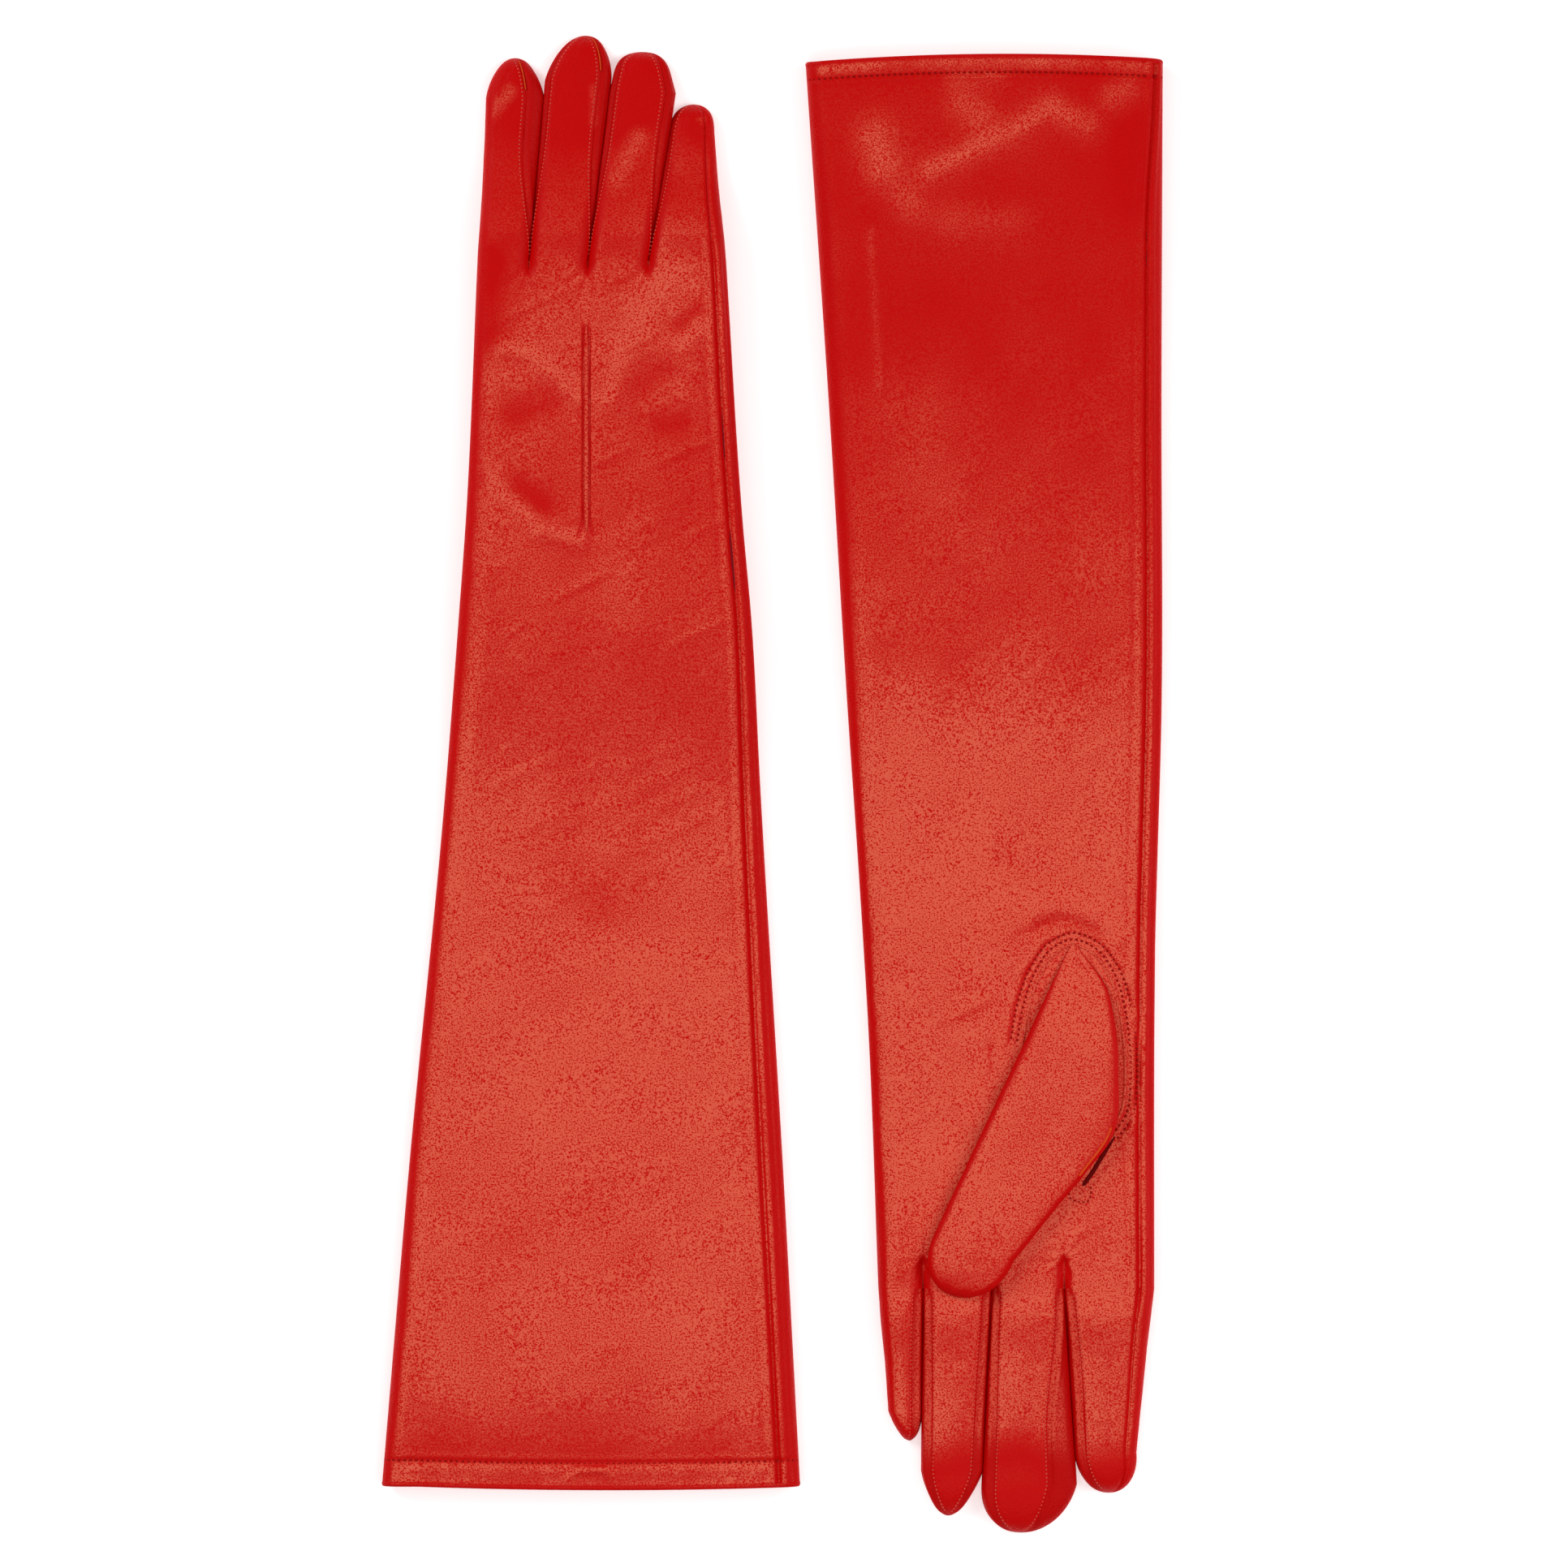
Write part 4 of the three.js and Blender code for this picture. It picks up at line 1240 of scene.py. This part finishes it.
def finger_stitches(glove, name, pitch):
    """A row of stitches just inside each seam of a finger's strips."""
    tube = glove.fingers[name]
    v = np.linspace(1.5, tube.length * 0.985, 220)
    at = finger_seam_ways(glove, name, v)
    quarter = tube.quarter(v)
    rows = []
    for key, away in (("back_index", -1), ("back_little", 1), ("palm_index", 1), ("palm_little", -1)):
        if at[key] is None or (name, key) in (("index", "palm_index"), ("little", "back_little")):
            continue
        lift = 0.06 if key.startswith("back") else -0.12
        points, normals = tube_line(tube, v, at[key] + away * 1.25 / quarter, lift)
        rows += stitch_row(points, normals, pitch, pitch * 0.48, 0.45, 0.4)
    made = bars_mesh(f"{glove.side}_{name}_stitches", glove, rows)
    finish_piece(made, look("thread"), "thread", glove, None)
    bend_with(made, glove, name)


def finger_lining(glove, name):
    tube = glove.fingers[name].shrunk(1.4)
    v = np.linspace(0.3, glove.fingers[name].length * 0.9, 50)[:, None]
    ways = np.broadcast_to(np.linspace(0, 4, 40, endpoint=False)[None, :], (50, 40))
    relief = noise(v, ways * 9, 4, 3, 41) * 0.1
    made = skin(f"{glove.side}_{name}_knit", glove, tube, v, ways, relief, 0.35, closed=True)
    finish_piece(made, look("lining"), "lining", glove, None, f"{name}_lining")
    bend_with(made, glove, name)


# --- The thumb ---


def bend_thumb(made, glove):
    """Bakes a thumb's piece's place into its points; the ends of its base line are worked out but not used."""
    start = glove.world_point(THUMB_BASE[0], THUMB_BASE[1], 0)
    end = glove.world_point(THUMB_BASE[0], -58.0, 0)
    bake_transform(made)
    return made


def thumb_rows():
    shoulder = THUMB_EDGES[-1][0]
    straight = np.arange(-1.0, shoulder, 0.9)
    tip = shoulder + np.sin(np.linspace(0, np.pi / 2, 26)) * 0.9995 * (THUMB_LENGTH - shoulder)
    return np.concatenate([straight, tip])[:, None]


def thumb_tube_skin(name, glove, tube, rows, columns, relief_scale, thick):
    y = rows
    ways = np.broadcast_to(np.linspace(0, 4, columns, endpoint=False)[None, :], (len(y), columns))
    grid_y = np.broadcast_to(y, ways.shape)
    plain_points = tube.points(grid_y, ways)
    across = plain_points[..., 0]
    relief = noise(across, grid_y, 14, 22, 61) * 0.3 + noise(across, grid_y, 5, 7, 62) * 0.07
    relief = relief * relief_scale * smoothstep(0, 12, y) * np.clip(tube.half(y) / 2, 0, 1)
    outer = glove.thumb_point(tube.points(grid_y, ways, relief))
    inner = glove.thumb_point(tube.shrunk(thick).points(grid_y, ways, np.minimum(relief, 0)))
    outer[..., 2], inner[..., 2] = np.maximum(outer[..., 2], 0.02), np.maximum(inner[..., 2], 0.1)
    points = np.concatenate([outer.reshape(-1, 3), inner.reshape(-1, 3)])
    normals = np.tile(grid_normals(glove, outer, True), (2, 1))
    tone = painted_light_at(glove, points) * THUMB_PAINTED_SHEEN
    return new_mesh(name, glove, points, skin_faces(len(y), columns, True), tone, None, normals)


def thumb(glove):
    """The thumb: one piece of leather folded along its far side, sewn along the near one, over its lining."""
    chosen, _ = settings()
    rows = thumb_rows()
    name, thick = f"{glove.side}_thumb_leather", chosen.thick / MM
    made = thumb_tube_skin(name, glove, glove.thumb, rows, 130, 1.0, thick)
    finish_piece(made, look("leather"), "glove_leather", glove, None, "thumb")
    bend_thumb(made, glove)
    inside = glove.thumb.shrunk(1.1)
    knit_rows = np.linspace(14, THUMB_LENGTH - 8, 60)[:, None]
    knit = thumb_tube_skin(f"{glove.side}_thumb_knit", glove, inside, knit_rows, 50, 0.3, 0.3)
    finish_piece(knit, look("lining"), "lining", glove, None, "thumb_lining")
    bend_thumb(knit, glove)
    cut_edge(glove)


def cut_edge(glove):
    """The raw edge of the leather where the thumb's seam opens beside its gusset."""
    y = np.linspace(54.5, 74, 40)
    points, normals = tube_line(glove.thumb, y, np.full_like(y, 1.86), 0.1)
    points = glove.thumb_point(points)
    normals[:, 2] = np.abs(normals[:, 2])
    rings = bar(points, normals, 0.75, 0.9)
    made = bars_mesh(f"{glove.side}_thumb_cut_edge", glove, [rings])
    finish_piece(made, look("cut_edge"), "glove_leather", glove, None)
    bend_thumb(made, glove)


def thumb_seam(glove):
    """Two rows of stitches and a fine welt round the oval that the thumb is set into."""
    _, seams = settings()
    oval = smooth_line(OVAL, 0.5)
    pitch = seams.thumb_pitch / MM
    bars = []
    for offset in (0.0, -2.2):
        points, normals = face_points(glove, sideways(oval, offset), False, 0.05)
        bars += stitch_row(points, normals, pitch, pitch * 0.62, 0.8, 0.5)
    made = bars_mesh(f"{glove.side}_thumb_seam_stitches", glove, bars)
    finish_piece(made, look("thumb_thread"), "thread", glove, f"{glove.side}_glove", "thumb_seam")
    welt_points, welt_normals = face_points(glove, sideways(oval, 2.0), False, 0.0)
    welt = bars_mesh(f"{glove.side}_thumb_welt", glove, [bar(welt_points, welt_normals, 0.9, 0.9)])
    # A constant painted sheen, a painted highlight along the welt.
    welt.data.attributes.new("painted_light", "FLOAT", "POINT").data.foreach_set(
        "value", np.full(len(welt.data.vertices), 0.95, np.float32)
    )
    finish_piece(welt, look("leather"), "glove_leather", glove, f"{glove.side}_glove")


def quirk(glove):
    """The gusset at the thumb's crotch: a narrow slit, drawn as a dark bar of painted shade, that ends in a
    small stitched triangle.
    """
    slit_shade = smooth_line([(-33.2, -52.5), (-29.5, -47), (-25.5, -40.5), (-22, -35.5)], 0.5)
    points, normals = face_points(glove, slit_shade, False, 0.0)
    grown = np.interp(np.linspace(0, 1, len(slit_shade)), [0, 0.3, 0.85, 1], [0.3, 1, 1.1, 0.8])
    ring = bar(points, normals, 1.5, 0.5)
    middle = ring.mean(axis=1, keepdims=True)
    made = bars_mesh(f"{glove.side}_thumb_painted_slit", glove, [middle + (ring - middle) * grown[:, None, None]])
    finish_piece(made, look("slit_shade"), "fourchette_leather", glove, f"{glove.side}_glove", "thumb_quirk")
    corners = [(-25.0, -36.5), (-19.0, -37.0), (-17.5, -31.5), (-23.8, -30.2), (-25.0, -36.5)]
    row, up = face_points(glove, smooth_line(corners, 0.4), False, 0.1)
    stitches = bars_mesh(f"{glove.side}_gusset_stitches", glove, stitch_row(row, up, 1.6, 1.0, 0.5, 0.4))
    finish_piece(stitches, look("thumb_thread"), "thread", glove, f"{glove.side}_glove")


# --- The stage ---


def area_light(name, place, aim, size, power, colour=(1, 1, 1)):
    light = bpy.data.lights.new(name, "AREA")
    light.shape, light.size, light.size_y = "RECTANGLE", size[0], size[1]
    light.energy, light.color = power, colour
    made = bpy.data.objects.new(name, light)
    made.location = place
    direction = np.array(aim, float) - np.array(place, float)
    made.rotation_euler = Vector(direction).to_track_quat("-Z", "Y").to_euler()
    bpy.context.scene.collection.objects.link(made)
    return made


VIEW_WIDTH = 0.5415  # across the camera's view, at the table, in metres
VIEW_HEIGHT = 4.0
VIEW_CENTRE = (0.0035, 0.0)


def camera():
    data = bpy.data.cameras.new("Camera")
    data.sensor_width = 36
    data.lens = data.sensor_width * VIEW_HEIGHT / VIEW_WIDTH
    data.clip_end = 50
    made = bpy.data.objects.new("Camera", data)
    made.location = (*VIEW_CENTRE, VIEW_HEIGHT)
    bpy.context.scene.collection.objects.link(made)
    bpy.context.scene.camera = made


def floor():
    mesh = bpy.data.meshes.new("Floor")
    mesh.from_pydata([(-6, -6, 0), (6, -6, 0), (6, 6, 0), (-6, 6, 0)], [], [(0, 1, 2, 3)])
    made = bpy.data.objects.new("Floor", mesh)

    def build(nodes, links, shader):
        shader.inputs["Base Color"].default_value = (0.9, 0.9, 0.9, 1)
        shader.inputs["Roughness"].default_value = 0.9
        shader.inputs["Emission Color"].default_value = (1, 1, 1, 1)
        shader.inputs["Emission Strength"].default_value = 0.45

    made.data.materials.append(material("Floor", build))
    bpy.context.scene.collection.objects.link(made)


def studio_light():
    area_light("Overhead", (0.0, -0.55, 1.3), (0, -0.1, 0), (1.2, 0.6), 5)
    area_light("Window", (-1.5, 1.1, 1.3), (0, 0, 0), (0.9, 0.9), 19)
    area_light("Fill", (1.6, 0.1, 1.4), (0, 0, 0), (1.2, 1.2), 15.5)
    world = bpy.data.worlds.new("Studio")
    world.use_nodes = True
    world.node_tree.nodes["Background"].inputs["Color"].default_value = (1, 1, 1, 1)
    world.node_tree.nodes["Background"].inputs["Strength"].default_value = 0.25
    bpy.context.scene.world = world
    bpy.context.scene.view_settings.view_transform = "Standard"


# --- Operators ---


class GLOVES_OT_sleeves(bpy.types.Operator):
    """Make the sleeves' leather, linings and raised points"""

    bl_idname = "gloves.sleeves"
    bl_label = "Sleeves"

    def execute(self, context):
        for glove in GLOVES.values():
            sleeve_panel(glove, "back_leather", True)
            sleeve_panel(glove, "palm_leather", False)
            sleeve_lining(glove)
            back_point(glove)
        return {"FINISHED"}


class GLOVES_OT_hems(bpy.types.Operator):
    """Turn the hems and stitch them"""

    bl_idname = "gloves.hems"
    bl_label = "Hems"

    def execute(self, context):
        for glove in GLOVES.values():
            hem(glove)
            hem_stitches(glove)
        return {"FINISHED"}


class GLOVES_OT_fingers(bpy.types.Operator):
    """Make each finger's strips, forks, stitches and lining"""

    bl_idname = "gloves.fingers"
    bl_label = "Fingers"

    def execute(self, context):
        for glove in GLOVES.values():
            for name in FINGERS:
                finger(glove, name)
        return {"FINISHED"}


class GLOVES_OT_thumbs(bpy.types.Operator):
    """Make the thumbs, the seams that set them in and their gussets"""

    bl_idname = "gloves.thumbs"
    bl_label = "Thumbs"

    def execute(self, context):
        for glove in GLOVES.values():
            thumb(glove)
            thumb_seam(glove)
            quirk(glove)
        return {"FINISHED"}


class GLOVES_OT_stage(bpy.types.Operator):
    """Lay the floor, and place the camera and the lights"""

    bl_idname = "gloves.stage"
    bl_label = "Stage"

    def execute(self, context):
        camera()
        floor()
        studio_light()
        return {"FINISHED"}


class GLOVES_PT_panel(bpy.types.Panel):
    """Lists the gloves' settings and the steps that make them"""

    bl_idname = "GLOVES_PT_panel"
    bl_label = "Opera gloves"
    bl_space_type = "VIEW_3D"
    bl_region_type = "UI"
    bl_category = "Gloves"

    def draw(self, context):
        for group in (context.scene.glove_leather, context.scene.glove_seams):
            box = self.layout.box()
            for key in group.__annotations__:
                box.prop(group, key)
        for step in STEPS:
            self.layout.operator(step.bl_idname)


STEPS = (GLOVES_OT_stage, GLOVES_OT_sleeves, GLOVES_OT_hems, GLOVES_OT_fingers, GLOVES_OT_thumbs)
CLASSES = (LeatherSettings, SeamSettings, *STEPS, GLOVES_PT_panel)


def register():
    for each in CLASSES:
        bpy.utils.register_class(each)
    bpy.types.Scene.glove_leather = PointerProperty(type=LeatherSettings)
    bpy.types.Scene.glove_seams = PointerProperty(type=SeamSettings)


def unregister():
    del bpy.types.Scene.glove_seams
    del bpy.types.Scene.glove_leather
    for each in reversed(CLASSES):
        bpy.utils.unregister_class(each)


def main():
    register()
    bpy.ops.gloves.stage()
    bpy.ops.gloves.sleeves()
    bpy.ops.gloves.hems()
    bpy.ops.gloves.fingers()
    bpy.ops.gloves.thumbs()


if __name__ == "__main__":
    main()
